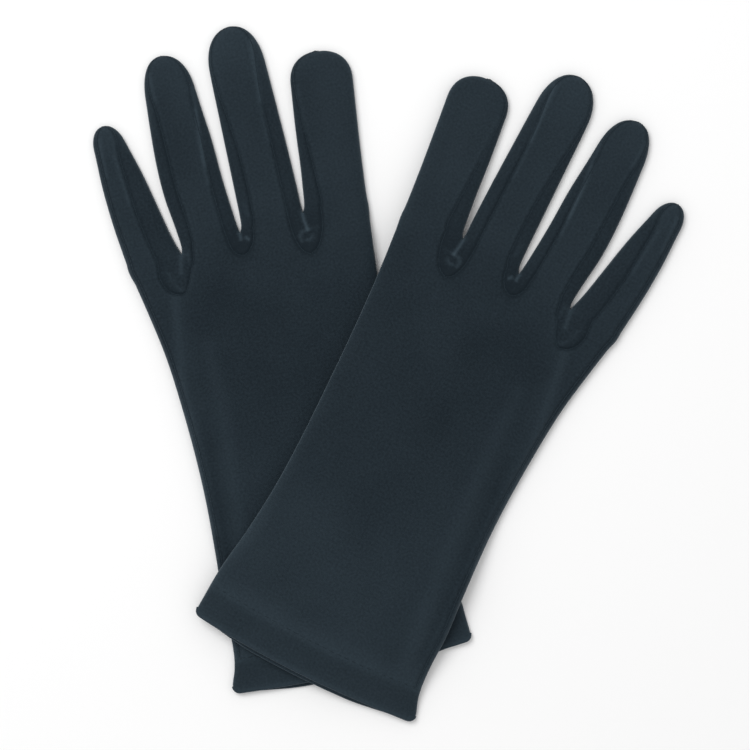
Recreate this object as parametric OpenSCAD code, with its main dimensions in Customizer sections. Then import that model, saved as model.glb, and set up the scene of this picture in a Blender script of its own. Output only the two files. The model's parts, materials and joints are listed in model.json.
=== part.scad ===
// A pair of short stretch gloves lying palm down, the right one crossed over the left, thumbs tucked under.
// One glove is drawn in its own frame and placed twice; the left glove is the mirror image.
// Glove frame: x from the thumb side (-) to the little-finger side (+), y from the cuff to the fingertips,
// z from the palm (0) to the back (loft). Every panel of soft cloth is a plain plate or wall.

/* [Cloth] */
// Thickness of one layer of stretch cloth
cloth = 0.5; // [0.4:0.05:0.6]
// Height of a glove lying flat
loft = 7; // [6.8:0.1:7.5]

/* [Hand] */
// Width across the mouth of the cuff
cuff_w = 87; // [85:1:90]
// Width at the wrist
wrist_w = 77.4; // [75:0.2:80]
// Depth of the turned-in hem at the cuff
hem_depth = 12; // [9:1:16]
// How far the palm's hem shows past the back's hem
hem_step = 1.8; // [1:0.2:3]

/* [Fingers] */
// Index finger, from its base to its tip
index_len = 52.5; // [48:0.5:56]
// Middle finger, from its base to its tip
middle_len = 66.4; // [62:0.2:70]
// Ring finger, from its base to its tip
ring_len = 62.8; // [58:0.2:66]
// Little finger, from its base to its tip
little_len = 46.2; // [42:0.2:50]
// Where the middle knuckle bends, as a share of the finger's length
bend_share = 0.45; // [0.4:0.01:0.5]

/* [Thumb] */
// Thumb, from the middle of its hole to its tip
thumb_len = 56; // [50:1:56]
// Height of the flattened thumb
thumb_loft = 2.4; // [2:0.1:2.6]
// Lean of the tucked thumb towards the little finger
thumb_lean = 8; // [4:1:9]

/* [Layout] */
// Turn of the left glove, anticlockwise
left_turn = 12.75; // [10:0.25:16]
// Turn of the right glove, clockwise
right_turn = 26.8; // [24:0.2:30]
// Slope of the right glove from the left glove's edge down to its own fingertips
right_slope = 3.5; // [3.2:0.1:3.6]

/* [Hidden] */

// Fingers: [base x, base y, lean, half width at base, half width at mid length, tip radius, length]
INDEX = [-30.8, 165, -6.7, 11.3, 11.4, 11.0, index_len];
MIDDLE = [-7.6, 166, 0, 11.0, 10.7, 9.6, middle_len];
RING = [16, 165, 3, 10.7, 10.9, 9.0, ring_len];
LITTLE = [38, 162, 8.4, 9.5, 8.6, 5.2, little_len];

// Crotches: [gap end x, gap end y, seam loop centre x, loop centre y, loop radius]
CROTCH_IM = [-19.1, 163.0, -17.6, 154.0, 5.5];
CROTCH_MR = [4.4, 161.0, 5.2, 157.5, 5.2];
CROTCH_RL = [27.6, 158.5, 27.6, 147.5, 5.0];
CROTCHES = [CROTCH_IM, CROTCH_MR, CROTCH_RL];

hinge_gap = 0.4;       // between solids on the two sides of a bend
solid_gap = 0.05;      // between separate solids of one node
notch_r = 0.9;         // half width of the gap between two fingers at its end
hand_len = 165;        // from the cuff to the finger bases
edge_bow = 2.4;        // how far the cuff's edge bows down at its middle
$fn = 48;
far = 200;             // larger than any part of a glove

thumb_hole = [-20, 90];     // centre of the hole that the thumb is set into
thumb_hole_r = 8;
thumb_base_r = 12;
thumb_tip_r = 10.5;
bed_low = 74;               // the palm is raised over the tucked thumb from here ...
bed_high = 148;             // ... to here
bed_z = thumb_loft + 0.3;   // underside of the raised palm
bed_side = [-4, 4];         // x of the raised palm's far side, at its low and high ends

stitch = [2.2, 0.35, 0.12]; // one stitch of the hem
stitch_pitch = 3;

left_at = [-13.3, -104.2];  // where each glove's frame stands
right_at = [-29.8, -104.7];
slope_towards = 14.5;       // heading of the right glove's fall, anticlockwise from +X
rest_gap = 0.3;             // clear height between the two gloves
slope_edge = [3.5, -0.8];   // a point on the left glove's thumb-side edge, under the right glove

left_colour = [0.15, 0.19, 0.22];
right_colour = [0.16, 0.20, 0.23];

// --- outlines in the plane of a glove ---

function turned(p, lean) = [p[0] * cos(lean) + p[1] * sin(lean), p[1] * cos(lean) - p[0] * sin(lean)];
function base_corner(f, side) = [f[0], f[1]] + turned([side * f[3], 0], f[2]);
function backwards(list) = [for (i = [len(list) - 1:-1:0]) list[i]];
function thumb_side(inset) = [
    [-cuff_w / 2 + inset, 0], [-wrist_w / 2 - 1.8 + inset, 33], [-wrist_w / 2 + inset, 60],
    [-wrist_w / 2 + inset, 100]];
function little_side(inset) = [
    [cuff_w / 2 - inset, 0], [wrist_w / 2 + 1.3 - inset, 25], [wrist_w / 2 + 0.3 - inset, 60],
    [wrist_w / 2 + 0.3 - inset, 100], [wrist_w / 2 + 2.3 - inset, 124]];

// The hand from the cuff to the finger bases; inset moves its two long sides in
module hand_outline(inset = 0, below = 0) {
    bases = [for (f = [INDEX, MIDDLE, RING, LITTLE], side = [-1, 1]) base_corner(f, side)];
    first = bases[0] + turned([inset, 0], INDEX[2]);
    last = bases[7] - turned([inset, 0], LITTLE[2]);
    inner = [for (i = [1:6]) bases[i]];
    polygon(concat(thumb_side(inset), [first], inner, [last], backwards(little_side(inset)),
        [[0, -edge_bow - below]]));
}

// A round-ended slot that runs up from [x, y]
module slot_outline(x, y, r) {
    translate([x, y]) circle(r);
    translate([x - r, y]) square([2 * r, far]);
}

// The seam loop round the end of the gap between two fingers, and the gap itself
module crotch_outline(c) slot_outline(c[2], c[3], c[4]);
module notch_outline(c, r) slot_outline(c[0], c[1], r);

// A finger along +y from its own base; inset moves its edge in
module finger_outline(f, inset = 0) {
    top = f[6] - f[5];
    tip_r = f[5] - inset;
    translate([0, top]) circle(tip_r);
    polygon([[-f[3] + inset, -1], [f[3] - inset, -1], [f[4] - inset, top / 2],
        [tip_r, top], [-tip_r, top], [-f[4] + inset, top / 2]]);
}

// The tucked thumb along +y from the centre of its hole
module thumb_outline(inset = 0) {
    low = thumb_base_r - inset;
    high = thumb_tip_r - inset;
    top = thumb_len - thumb_tip_r;
    circle(low);
    translate([0, top]) circle(high);
    polygon([[-low, 0], [low, 0], [high, top], [-high, top]]);
}

// The part of the palm that lies over the tucked thumb; inset moves its edges in
module bed_outline(inset = 0) polygon([
    [-far, bed_low + inset], [bed_side[0] - inset, bed_low + inset],
    [bed_side[1] - inset, bed_high - inset], [-far, bed_high - inset]]);

module between_y(low, high) intersection() {
    children();
    translate([-far, low]) square([2 * far, high - low]);
}

module one_side(side) intersection() {
    children();
    translate([side > 0 ? solid_gap : -far, -far]) square([far - solid_gap, 2 * far]);
}

module plate(z, t = cloth) translate([0, 0, z]) linear_extrude(t) children();

// --- panels of the hand ---

module hand_side_wall() between_y(0, far) difference() {
    hand_outline();
    hand_outline(cloth);
}

module hand_back() {
    low_z = cloth + solid_gap;
    bed_top = bed_z + cloth + solid_gap;
    high_z = loft - cloth - solid_gap;
    plate(loft - cloth) difference() {
        hand_outline();
        for (c = CROTCHES) crotch_outline(c);
    }
    // the folded edge on the thumb side, higher where the palm is raised
    plate(low_z, high_z - low_z) one_side(-1) between_y(0, bed_low - solid_gap) hand_side_wall();
    plate(bed_top, high_z - bed_top) one_side(-1) between_y(bed_low, bed_high) hand_side_wall();
    plate(low_z, high_z - low_z) one_side(-1) between_y(bed_high + solid_gap, far) hand_side_wall();
}

module hand_palm() {
    plate(0) difference() {
        hand_outline(below = hem_step);
        bed_outline(-solid_gap);
        for (c = CROTCHES) crotch_outline(c);
    }
    plate(bed_z) difference() {
        intersection() {
            hand_outline();
            bed_outline();
        }
        translate(thumb_hole) circle(thumb_hole_r);
        for (c = CROTCHES) crotch_outline(c);
    }
    for (part = [0:2]) plate(0, bed_z - solid_gap) bed_wall(part);
}

// The three steps between the flat palm and its raised part: near the cuff, beside the thumb, near the fingers
module bed_wall(part) intersection() {
    difference() {
        bed_outline();
        bed_outline(cloth);
    }
    difference() {
        hand_outline();
        for (c = CROTCHES) crotch_outline(c);
    }
    cut = cloth + solid_gap;
    low = [bed_low, bed_low + cut, bed_high - cloth][part];
    high = [bed_low + cloth, bed_high - cut, bed_high][part];
    translate([-far, low]) square([2 * far, high - low]);
}

module side_seam() plate(cloth + solid_gap, loft - 2 * cloth - 2 * solid_gap) one_side(1) hand_side_wall();

module hem_back() plate(loft - 2 * cloth - solid_gap)
    between_y(-far, hem_depth) hand_outline(cloth + solid_gap);

module hem_palm() plate(cloth + solid_gap)
    between_y(-far, hem_depth) hand_outline(cloth + solid_gap, hem_step);

module hem_stitches() {
    half = floor((cuff_w / 2 - 6) / stitch_pitch);
    for (i = [-half:half])
        translate([i * stitch_pitch - stitch[0] / 2, hem_depth - 1, loft + solid_gap]) cube(stitch);
}

module crotch(c) {
    for (z = [0, loft - cloth]) plate(z) difference() {
        intersection() {
            hand_outline();
            crotch_outline(c);
        }
        notch_outline(c, notch_r);
    }
    plate(cloth + solid_gap, loft - 2 * cloth - 2 * solid_gap) intersection() {
        difference() {
            notch_outline(c, notch_r + cloth);
            notch_outline(c, notch_r);
        }
        hand_outline();
    }
}

// --- panels of a finger, from its base to its middle knuckle ---

function knuckle(f) = f[6] * bend_share;

module on_finger(f) translate([f[0], f[1], 0]) rotate([0, 0, -f[2]]) children();

module finger_plate(f, z) on_finger(f) plate(z)
    between_y(hinge_gap, knuckle(f) - hinge_gap / 2) finger_outline(f);

module finger_wall(f, side) on_finger(f) plate(cloth + solid_gap, loft - 2 * cloth - 2 * solid_gap)
    one_side(side) between_y(hinge_gap, knuckle(f) - hinge_gap / 2) difference() {
        finger_outline(f);
        finger_outline(f, cloth);
    }

module finger_back(f) finger_plate(f, loft - cloth);

module finger_palm(f) finger_plate(f, 0);

// --- a finger past its middle knuckle: back, palm and both sides ---

module finger_tip(f) on_finger(f) {
    for (z = [0, loft - cloth]) plate(z) between_y(knuckle(f) + hinge_gap / 2, far) finger_outline(f);
    for (side = [-1, 1]) plate(cloth + solid_gap, loft - 2 * cloth - 2 * solid_gap)
        one_side(side) between_y(knuckle(f) + hinge_gap / 2, far) difference() {
            finger_outline(f);
            finger_outline(f, cloth);
        }
}

// --- thumb ---

module on_thumb() translate([thumb_hole[0], thumb_hole[1], 0]) rotate([0, 0, -thumb_lean]) children();

module thumb_upper() on_thumb() {
    plate(thumb_loft - cloth) difference() {
        thumb_outline();
        circle(thumb_hole_r);
    }
}

module thumb_lower() on_thumb() {
    plate(0) thumb_outline();
    for (side = [-1, 1]) plate(cloth + solid_gap, thumb_loft - 2 * cloth - 2 * solid_gap)
        one_side(side) difference() {
            thumb_outline();
            thumb_outline(cloth);
        }
}

// --- the two gloves in their places ---

function heading(a) = [cos(a), sin(a)];
// Height of the right glove's frame above the floor: its plane clears the left glove at the sloping edge
right_rise = loft + rest_gap + tan(right_slope) * ((slope_edge - right_at) * heading(slope_towards));

module left_glove() color(left_colour)
    translate([left_at[0], left_at[1], 0]) rotate([0, 0, left_turn]) mirror([1, 0, 0]) children();

module right_glove() color(right_colour)
    translate([right_at[0], right_at[1], right_rise])
    rotate(a = right_slope, v = [-sin(slope_towards), cos(slope_towards), 0])
    rotate([0, 0, -right_turn]) children();

module panel(name) {
    if (name == "hand_back") hand_back();
    if (name == "hand_palm") hand_palm();
    if (name == "side_seam") side_seam();
    if (name == "hem_back") hem_back();
    if (name == "hem_palm") hem_palm();
    if (name == "hem_stitches") hem_stitches();
    if (name == "crotch_index_middle") crotch(CROTCH_IM);
    if (name == "crotch_middle_ring") crotch(CROTCH_MR);
    if (name == "crotch_ring_little") crotch(CROTCH_RL);
    if (name == "index_back") {
        finger_back(INDEX);
        finger_wall(INDEX, -1);
    }
    if (name == "index_palm") finger_palm(INDEX);
    if (name == "index_fourchette") finger_wall(INDEX, 1);
    if (name == "index_tip") finger_tip(INDEX);
    if (name == "middle_back") finger_back(MIDDLE);
    if (name == "middle_palm") finger_palm(MIDDLE);
    if (name == "middle_fourchette_index_side") finger_wall(MIDDLE, -1);
    if (name == "middle_fourchette_ring_side") finger_wall(MIDDLE, 1);
    if (name == "middle_tip") finger_tip(MIDDLE);
    if (name == "ring_back") finger_back(RING);
    if (name == "ring_palm") finger_palm(RING);
    if (name == "ring_fourchette_middle_side") finger_wall(RING, -1);
    if (name == "ring_fourchette_little_side") finger_wall(RING, 1);
    if (name == "ring_tip") finger_tip(RING);
    if (name == "little_back") finger_back(LITTLE);
    if (name == "little_palm") {
        finger_palm(LITTLE);
        finger_wall(LITTLE, 1);
    }
    if (name == "little_fourchette") finger_wall(LITTLE, -1);
    if (name == "little_tip") finger_tip(LITTLE);
    if (name == "thumb_upper") thumb_upper();
    if (name == "thumb_lower") thumb_lower();
}

PANELS = [
    "hand_back", "hand_palm", "side_seam", "hem_back", "hem_palm", "hem_stitches",
    "crotch_index_middle", "crotch_middle_ring", "crotch_ring_little",
    "index_back", "index_palm", "index_fourchette", "index_tip",
    "middle_back", "middle_palm", "middle_fourchette_index_side", "middle_fourchette_ring_side", "middle_tip",
    "ring_back", "ring_palm", "ring_fourchette_middle_side", "ring_fourchette_little_side", "ring_tip",
    "little_back", "little_palm", "little_fourchette", "little_tip", "thumb_upper", "thumb_lower"];

for (name = PANELS) {
    left_glove() panel(name);
    right_glove() panel(name);
}
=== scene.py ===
"""A pair of short cut-and-sewn stretch gloves, crossed and lying palm down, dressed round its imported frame.

One pattern is cut in the glove's own frame, in millimetres: x from the thumb side to the little-finger side,
y from the cuff to the fingertips, z up through the back of the hand. Each glove lays the same panels, the
left one mirrored, and the right one drapes over the left one.
"""
import json
import logging
import math
from dataclasses import dataclass, field, replace
from enum import Enum
from typing import Sequence

import bmesh
import bpy
import numpy as np
from mathutils import Matrix, Vector, kdtree, noise


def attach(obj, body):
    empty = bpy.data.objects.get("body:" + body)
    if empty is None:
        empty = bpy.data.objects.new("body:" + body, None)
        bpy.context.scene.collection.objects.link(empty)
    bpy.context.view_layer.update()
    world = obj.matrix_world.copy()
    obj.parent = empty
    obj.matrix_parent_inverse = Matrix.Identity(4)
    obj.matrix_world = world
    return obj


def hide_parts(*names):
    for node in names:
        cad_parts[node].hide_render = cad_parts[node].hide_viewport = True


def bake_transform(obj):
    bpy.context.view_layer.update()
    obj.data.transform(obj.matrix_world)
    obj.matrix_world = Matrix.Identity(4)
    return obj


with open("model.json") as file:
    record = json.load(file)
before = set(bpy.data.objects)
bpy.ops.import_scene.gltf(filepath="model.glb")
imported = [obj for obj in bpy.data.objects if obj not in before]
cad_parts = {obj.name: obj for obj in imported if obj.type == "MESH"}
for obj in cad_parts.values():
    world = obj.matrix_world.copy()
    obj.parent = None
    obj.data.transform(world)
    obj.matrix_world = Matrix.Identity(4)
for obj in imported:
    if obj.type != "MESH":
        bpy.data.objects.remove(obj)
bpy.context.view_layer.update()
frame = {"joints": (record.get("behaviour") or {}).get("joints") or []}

LOG = logging.getLogger("gloves")
MM = 0.001
FINGERS = ("index", "middle", "ring", "little")
GAPS = ("index_middle", "middle_ring", "ring_little")
SLOTS = {"hem": "hem_cloth", "thread": "sewing_thread", "fourchette": "fourchette_cloth"}
STRIP_CELLS = 9       # cells from a finger's edge, or a gap, to the seam beside it
PANEL_CELLS = 20      # cells between a finger's two seams
HAND_ROWS = ((0.0, 0.09, 18), (0.09, 0.84, 104), (0.84, 1.0, 45))   # rows over each share of the hand
FINGER_ROWS = 84      # rows from the end of the gap to the fingertip
THUMB_CELLS = (26, 70)    # cells across and along each layer of the thumb
COLLAR_STEPS = 48     # cells round the thumb's hole
TIP_CROWDING = 1.5    # how much closer together a finger's rows are at its tip
BASE_EASE = 1.5       # how soon a finger's edge leaves the corner of its gap
SEAM_LIMIT = 0.46     # the most of a finger's width between its edge and its seam
TIP_CURVE = 2.3       # how square a fingertip's outline is; 2 is a round one
CROWN_CURVE = 2.2     # the same for the cloth's rounding at an edge
CLOTH = 0.45          # thickness of the jersey
HOLE_EASE = 0.3       # how much wider the palm's hole is than the thumb's
STRIP_LEAST = 0.05    # the narrowest strip that counts as a fourchette
WELD = 0.004          # corners closer together than this are one
FOURCHETTES = {
    ("index", 1): "index_fourchette",
    ("middle", -1): "middle_fourchette_index_side", ("middle", 1): "middle_fourchette_ring_side",
    ("ring", -1): "ring_fourchette_middle_side", ("ring", 1): "ring_fourchette_little_side",
    ("little", -1): "little_fourchette",
}

STITCH_PITCH = 1.6    # from one stitch of a seam to the next
HEM_PITCH = 2.9       # from one stitch of the hem to the next
CUT_MAP = "cut"
# Name of the corner attribute that carries painted light and shade from the relief to the material.
PAINTED_LIGHT_ATTRIBUTE = "painted_light"
JOINTS = {joint["name"]: joint for joint in frame["joints"]}

Pair = tuple[float, float]
Knots = Sequence[Pair]


class Side(Enum):
    """Which hand a glove is for."""

    LEFT = "left"
    RIGHT = "right"


class Wall(Enum):
    """Which surface of a piece a face belongs to."""

    OUTSIDE = 0
    INSIDE = 1
    RIM = 2
    ROLL = 3


class Layer(Enum):
    """The two layers of cloth of a glove that lies flat."""

    BACK = "back"
    PALM = "palm"


# --- curves ---------------------------------------------------------------------------------------


def smooth_step(value: np.ndarray, low: float | np.ndarray, high: float) -> np.ndarray:
    """Rise from 0 at low to 1 at high with flat ends.

    Args:
        value: the numbers to grade.
        low: where the rise begins.
        high: where it ends; it may lie below low, and the rise then runs the other way.

    Returns:
        A number from 0 to 1 for each value.
    """
    share = np.clip((value - low) / (high - low), 0.0, 1.0)
    return share * share * (3.0 - 2.0 * share)


def through(knots: Knots, at: np.ndarray) -> np.ndarray:
    """Read a smooth curve that passes through its knots.

    Args:
        knots: pairs of place and value, with rising places.
        at: the places to read.

    Returns:
        The curve's value at each place; flat beyond the first and last knots.
    """
    place, value = np.array(knots, float).T
    slope = np.gradient(value, place)
    at = np.clip(at, place[0], place[-1])
    cell = np.clip(np.searchsorted(place, at) - 1, 0, len(place) - 2)
    width = place[cell + 1] - place[cell]
    share = (at - place[cell]) / width
    start, end = value[cell], value[cell + 1]
    rise, fall = slope[cell] * width, slope[cell + 1] * width
    return (
        start * (1 + 2 * share) * (1 - share) ** 2 + rise * share * (1 - share) ** 2
        + end * share ** 2 * (3 - 2 * share) - fall * share ** 2 * (1 - share)
    )


def hill(distance: np.ndarray, width: float) -> np.ndarray:
    """A soft bump, 1 at no distance and nearly gone at twice the width."""
    return np.exp(-((distance / width) ** 2))


def band(distance: np.ndarray, place: Sequence[float]) -> np.ndarray:
    """A soft bump off to the side of a line, from the place of its middle and its width."""
    return hill(distance - place[0], place[1])


def rounded(share: np.ndarray, curve: float) -> np.ndarray:
    """Fall from 1 at no share to 0 at a whole one, along a quarter of a round or squarer outline."""
    return (1.0 - share ** curve) ** (1.0 / curve)


def distance_to(points: np.ndarray, line: np.ndarray) -> np.ndarray:
    """Measure how far each point is from a short line, in the plane.

    Args:
        points: an array of places, two columns.
        line: a polyline, an array of places in order.

    Returns:
        The distance of each point to the line.
    """
    start, along = line[:-1], np.diff(line, axis=0)
    block = points[:, None, :] - start[None]
    share = np.clip((block * along).sum(2) / (along ** 2).sum(1), 0.0, 1.0)
    return np.sqrt(((block - share[..., None] * along) ** 2).sum(2).min(1))


def evenly(path: np.ndarray, step: float) -> np.ndarray:
    """Place points along a path at an even distance.

    Args:
        path: the path's points.
        step: about how far apart the new points are.

    Returns:
        The new points.
    """
    far = np.concatenate([[0.0], np.cumsum(np.linalg.norm(np.diff(path, axis=0), axis=1))])
    spots = np.linspace(0.0, far[-1], max(2, round(far[-1] / step) + 1))
    return np.column_stack([np.interp(spots, far, path[:, k]) for k in range(path.shape[1])])


class Nearest:
    """Measures how far places are from a set of long lines, quickly."""

    def __init__(self, lines: Sequence[np.ndarray], step: float = 0.25) -> None:
        """Take the lines.

        Args:
            lines: polylines, each an array of places in order.
            step: about how closely a line is sampled between its own points.
        """
        spots = np.concatenate([spot for line in lines for spot in (line, evenly(line, step))])
        self.tree = kdtree.KDTree(len(spots))
        for index, (x, y) in enumerate(spots):
            self.tree.insert((x, y, 0.0), index)
        self.tree.balance()

    def __call__(self, points: np.ndarray) -> np.ndarray:
        """The distance of each point to the nearest line."""
        return np.array([self.tree.find((x, y, 0.0))[2] for x, y in points])


def inside(points: np.ndarray, ring: np.ndarray) -> np.ndarray:
    """Tell which points lie inside a closed outline.

    Args:
        points: an array of places, two columns.
        ring: the outline's corners in order.

    Returns:
        True for each point that is inside.
    """
    odd = np.zeros(len(points), bool)
    for low, high in zip(ring, np.roll(ring, -1, axis=0)):
        spans = (low[1] > points[:, 1]) != (high[1] > points[:, 1])
        if not spans.any():
            continue
        reach = low[0] + (points[:, 1] - low[1]) / (high[1] - low[1]) * (high[0] - low[0])
        odd ^= spans & (points[:, 0] < reach)
    return odd


# --- the pattern ----------------------------------------------------------------------------------


@dataclass(frozen=True)
class Finger:
    """One finger of the pattern, in millimetres, measured along its own axis from its base.

    Attributes:
        base: the middle of its base in the glove's frame.
        lean: its turn towards the little finger, in degrees.
        length: from the base to the tip.
        thumb_side: half width on the thumb side at places along the finger.
        little_side: half width on the little-finger side.
        thumb_seam: how far the seam on the thumb side lies in from the edge.
        little_seam: the same on the little-finger side.
        cap: length of the rounded tip.
        split: where the cloth of the finger's base ends and that of its end begins.
    """

    base: Pair
    lean: float
    length: float
    thumb_side: Knots
    little_side: Knots
    thumb_seam: Knots
    little_seam: Knots
    cap: float
    split: float

    @property
    def axis(self) -> np.ndarray:
        """The finger's direction in the glove's frame."""
        turn = math.radians(self.lean)
        return np.array([math.sin(turn), math.cos(turn)])

    @property
    def across(self) -> np.ndarray:
        """The direction towards the little finger, square to the finger."""
        return np.array([self.axis[1], -self.axis[0]])

    def half_width(self, along: np.ndarray, knots: Knots) -> np.ndarray:
        """Half width on the side of the knots at places along the finger, 0 at its rounded tip."""
        over = np.clip((along - (self.length - self.cap)) / self.cap, 0.0, 1.0)
        return through(knots, along) * rounded(over, TIP_CURVE)


@dataclass(frozen=True)
class Gap:
    """The end of the gap between two fingers, with the seam that loops round it.

    Attributes:
        end: the gap's closed end.
        bottom: y of the lowest point of the seam's loop.
        thumb_side: how far the seam lies from the gap's middle on the thumb side.
        little_side: the same on the little-finger side.
        middle: x of the gap's middle line down the hand, at places along y.
    """

    end: Pair
    bottom: float
    thumb_side: float
    little_side: float
    middle: Knots

    def loop(self, y: np.ndarray, reach: float) -> np.ndarray:
        """How far the seam stands off the middle line at each y, 0 below the loop."""
        drop = np.clip((self.end[1] - y) / (self.end[1] - self.bottom), 0.0, 1.0)
        return reach * np.sqrt(1.0 - drop ** 2)


@dataclass(frozen=True)
class Pattern:
    """The flat outline of a glove and the depth of its hem, in millimetres.

    Attributes:
        thumb_edge: x of the edge on the thumb side at places along y.
        little_edge: x of the edge on the little-finger side.
        thumb_top: where the edge on the thumb side meets the index finger.
        little_top: where the edge on the little-finger side meets the little finger.
        top_ease: how far below its top a line up the hand begins to turn to it.
        fingers: the four fingers.
        gaps: the three gaps between them.
        side_seam: how far the seam of the little-finger side lies in from the edge.
        fold_strip: how far the finer cells reach in from the fold of the thumb side.
        foot: y of the cuff's corners.
        cuff_bow: how far the cuff's middle lies below its corners.
        bow_fade: y where the bow ends and y where it is whole.
        hem_depth: from the cuff to the row of stitches.
        hem_step: how far the palm's cuff lies below the back's.
        step_fade: how far in from the sides the step begins and where it is whole.
        corner: radius of the cuff's corners.
        corner_fade: y where the corners' rounding ends and y where it is whole.
    """

    thumb_edge: Knots = ((-1, -44.0), (17, -43.1), (35, -40.5), (50, -39.0), (74, -38.2), (92, -38.4),
                         (137, -40.1), (162, -42.3))
    little_edge: Knots = ((0, 43.2), (5, 41.9), (11, 40.6), (20, 39.9), (32, 40.0), (47, 39.0), (72, 38.0),
                          (102, 38.9), (123, 40.7), (140, 43.6), (158, 47.2))
    thumb_top: Pair = (-42.3, 161.8)
    little_top: Pair = (47.0, 157.5)
    top_ease: float = 8.0
    fingers: tuple[Finger, ...] = (
        Finger((-30.8, 165), -6.7, 52.4, ((-4, 11.7), (14, 11.3), (44, 11.2)),
               ((-4, 10.7), (2, 10.8), (12, 10.8), (22, 11.1), (46, 11.2)), ((0, 4.5), (50, 4.5)),
               ((-2, 6.4), (15, 4.2), (29, 2.8), (42, 1.3), (50, 0.8)), 11, 16.5),
        Finger((-7.6, 166), 0.0, 66.5, ((-6, 10.9), (4, 11.0), (14, 10.9), (34, 10.4), (52, 9.8), (66, 9.0)),
               ((-6, 11.3), (14, 11.0), (34, 10.7), (54, 10.3), (66, 9.6)),
               ((-2, 5.3), (22, 5.0), (45, 4.2), (57, 2.4), (64, 1.0)),
               ((-6, 4.9), (18, 4.6), (31, 3.4), (47, 1.4), (64, 0.8)), 14, 20.9),
        Finger((16, 165), 3.0, 62.7, ((-6, 10.6), (14, 10.0), (30, 10.1), (42, 9.6), (62, 9.1)),
               ((-8, 10.4), (2, 11.0), (14, 11.8), (26, 11.4), (38, 10.2), (50, 8.7), (62, 7.6)),
               ((-5, 4.9), (25, 3.8), (42, 2.6), (52, 1.4), (60, 0.8)),
               ((-7, 4.3), (9, 5.0), (38, 4.0), (56, 1.3), (60, 0.8)), 14, 19.8),
        Finger((38, 162), 8.4, 46.2, ((-6, 9.9), (2, 9.0), (10, 8.5), (26, 7.4), (38, 5.9), (46, 4.9)),
               ((-6, 9.6), (2, 9.4), (10, 9.1), (26, 7.7), (38, 5.9), (46, 4.9)),
               ((-5, 9.0), (7, 8.4), (20, 6.8), (33, 4.4), (40, 2.2), (45, 1.0)),
               ((0, 2.0), (45, 1.6)), 7.5, 14.6),
    )
    gaps: tuple[Gap, ...] = (
        Gap((-18.7, 162.0), 146.9, 6.6, 5.4,
            ((0, -22.0), (60, -19.5), (120, -18.8), (150, -18.4), (162, -18.7))),
        Gap((4.8, 159.9), 151.6, 4.9, 4.9, ((0, 0.0), (60, 1.0), (120, 3.4), (150, 5.0), (161, 4.7))),
        Gap((26.9, 157.0), 142.5, 4.3, 9.0,
            ((0, 21.0), (60, 20.0), (110, 24.0), (142, 29.6), (150, 28.4), (158, 26.9))),
    )
    side_seam: float = 2.0
    fold_strip: float = 4.5
    foot: float = -0.5
    cuff_bow: float = 2.0
    bow_fade: Pair = (70.0, 14.0)
    hem_depth: float = 11.8
    hem_step: float = 1.3
    step_fade: Pair = (4.0, 26.0)
    corner: float = 2.2
    corner_fade: Pair = (9.0, -0.5)

    @staticmethod
    def hand_rows() -> np.ndarray:
        """Shares of the way from the cuff to the fingers, closer together at both ends."""
        parts = [np.linspace(low, high, rows + 1)[:-1] for low, high, rows in HAND_ROWS]
        return np.concatenate([*parts, [1.0]])

    def boundary(self, number: int) -> np.ndarray:
        """A line up the hand: its two edges, and the middle lines of the gaps between them.

        Args:
            number: 0 for the thumb side, 1 to 3 for the gaps, 4 for the little-finger side.

        Returns:
            The line's points, one for each row.
        """
        knots = (self.thumb_edge, *(gap.middle for gap in self.gaps), self.little_edge)[number]
        top_x, top_y = (self.thumb_top, *(gap.end for gap in self.gaps), self.little_top)[number]
        y = self.foot + (top_y - self.foot) * self.hand_rows()
        x = through(knots, y)
        return np.stack([x + (top_x - x) * smooth_step(y, top_y - self.top_ease, top_y), y], 1)

    def strip_width(self, number: int, side: int, y: np.ndarray) -> np.ndarray:
        """How far a column's seam lies from its edge.

        Args:
            number: the column, 0 for the index finger to 3 for the little finger.
            side: -1 for the thumb side, 1 for the little-finger side.
            y: places up the hand.

        Returns:
            The distance at each y; at a gap it is 0 below the loop of the seam.
        """
        if (number, side) == (0, -1):
            return np.full(len(y), self.fold_strip)
        if (number, side) == (3, 1):
            return np.full(len(y), self.side_seam)
        gap = self.gaps[number + (side - 1) // 2]
        return gap.loop(y, gap.little_side if side < 0 else gap.thumb_side)

    def bowed(
        self, points: np.ndarray, thumb_edge: np.ndarray, little_edge: np.ndarray, layer: Layer
    ) -> np.ndarray:
        """Bow the rows near the cuff down in the middle, and the palm's layer a little lower.

        Args:
            points: one row's corners.
            thumb_edge: where the row meets the thumb side.
            little_edge: where the row meets the little-finger side.
            layer: the layer of cloth.

        Returns:
            The row's corners, moved.
        """
        width = little_edge[0] - thumb_edge[0]
        share = (points[:, 0] - thumb_edge[0]) / width
        side = width * np.minimum(share, 1.0 - share)
        drop = self.cuff_bow * 4.0 * share * (1.0 - share)
        if layer is Layer.PALM:
            drop = drop + self.hem_step * smooth_step(side, *self.step_fade)
        drop = drop * smooth_step(points[:, 1], *self.bow_fade)
        near = np.clip(1.0 - side / self.corner, 0.0, 1.0)
        turned_up = self.corner * (1.0 - np.sqrt(1.0 - near ** 2))
        turned_up *= smooth_step(points[:, 1], *self.corner_fade)
        return points + np.outer(turned_up - drop, (0.0, 1.0))


# --- the cells ------------------------------------------------------------------------------------


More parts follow.
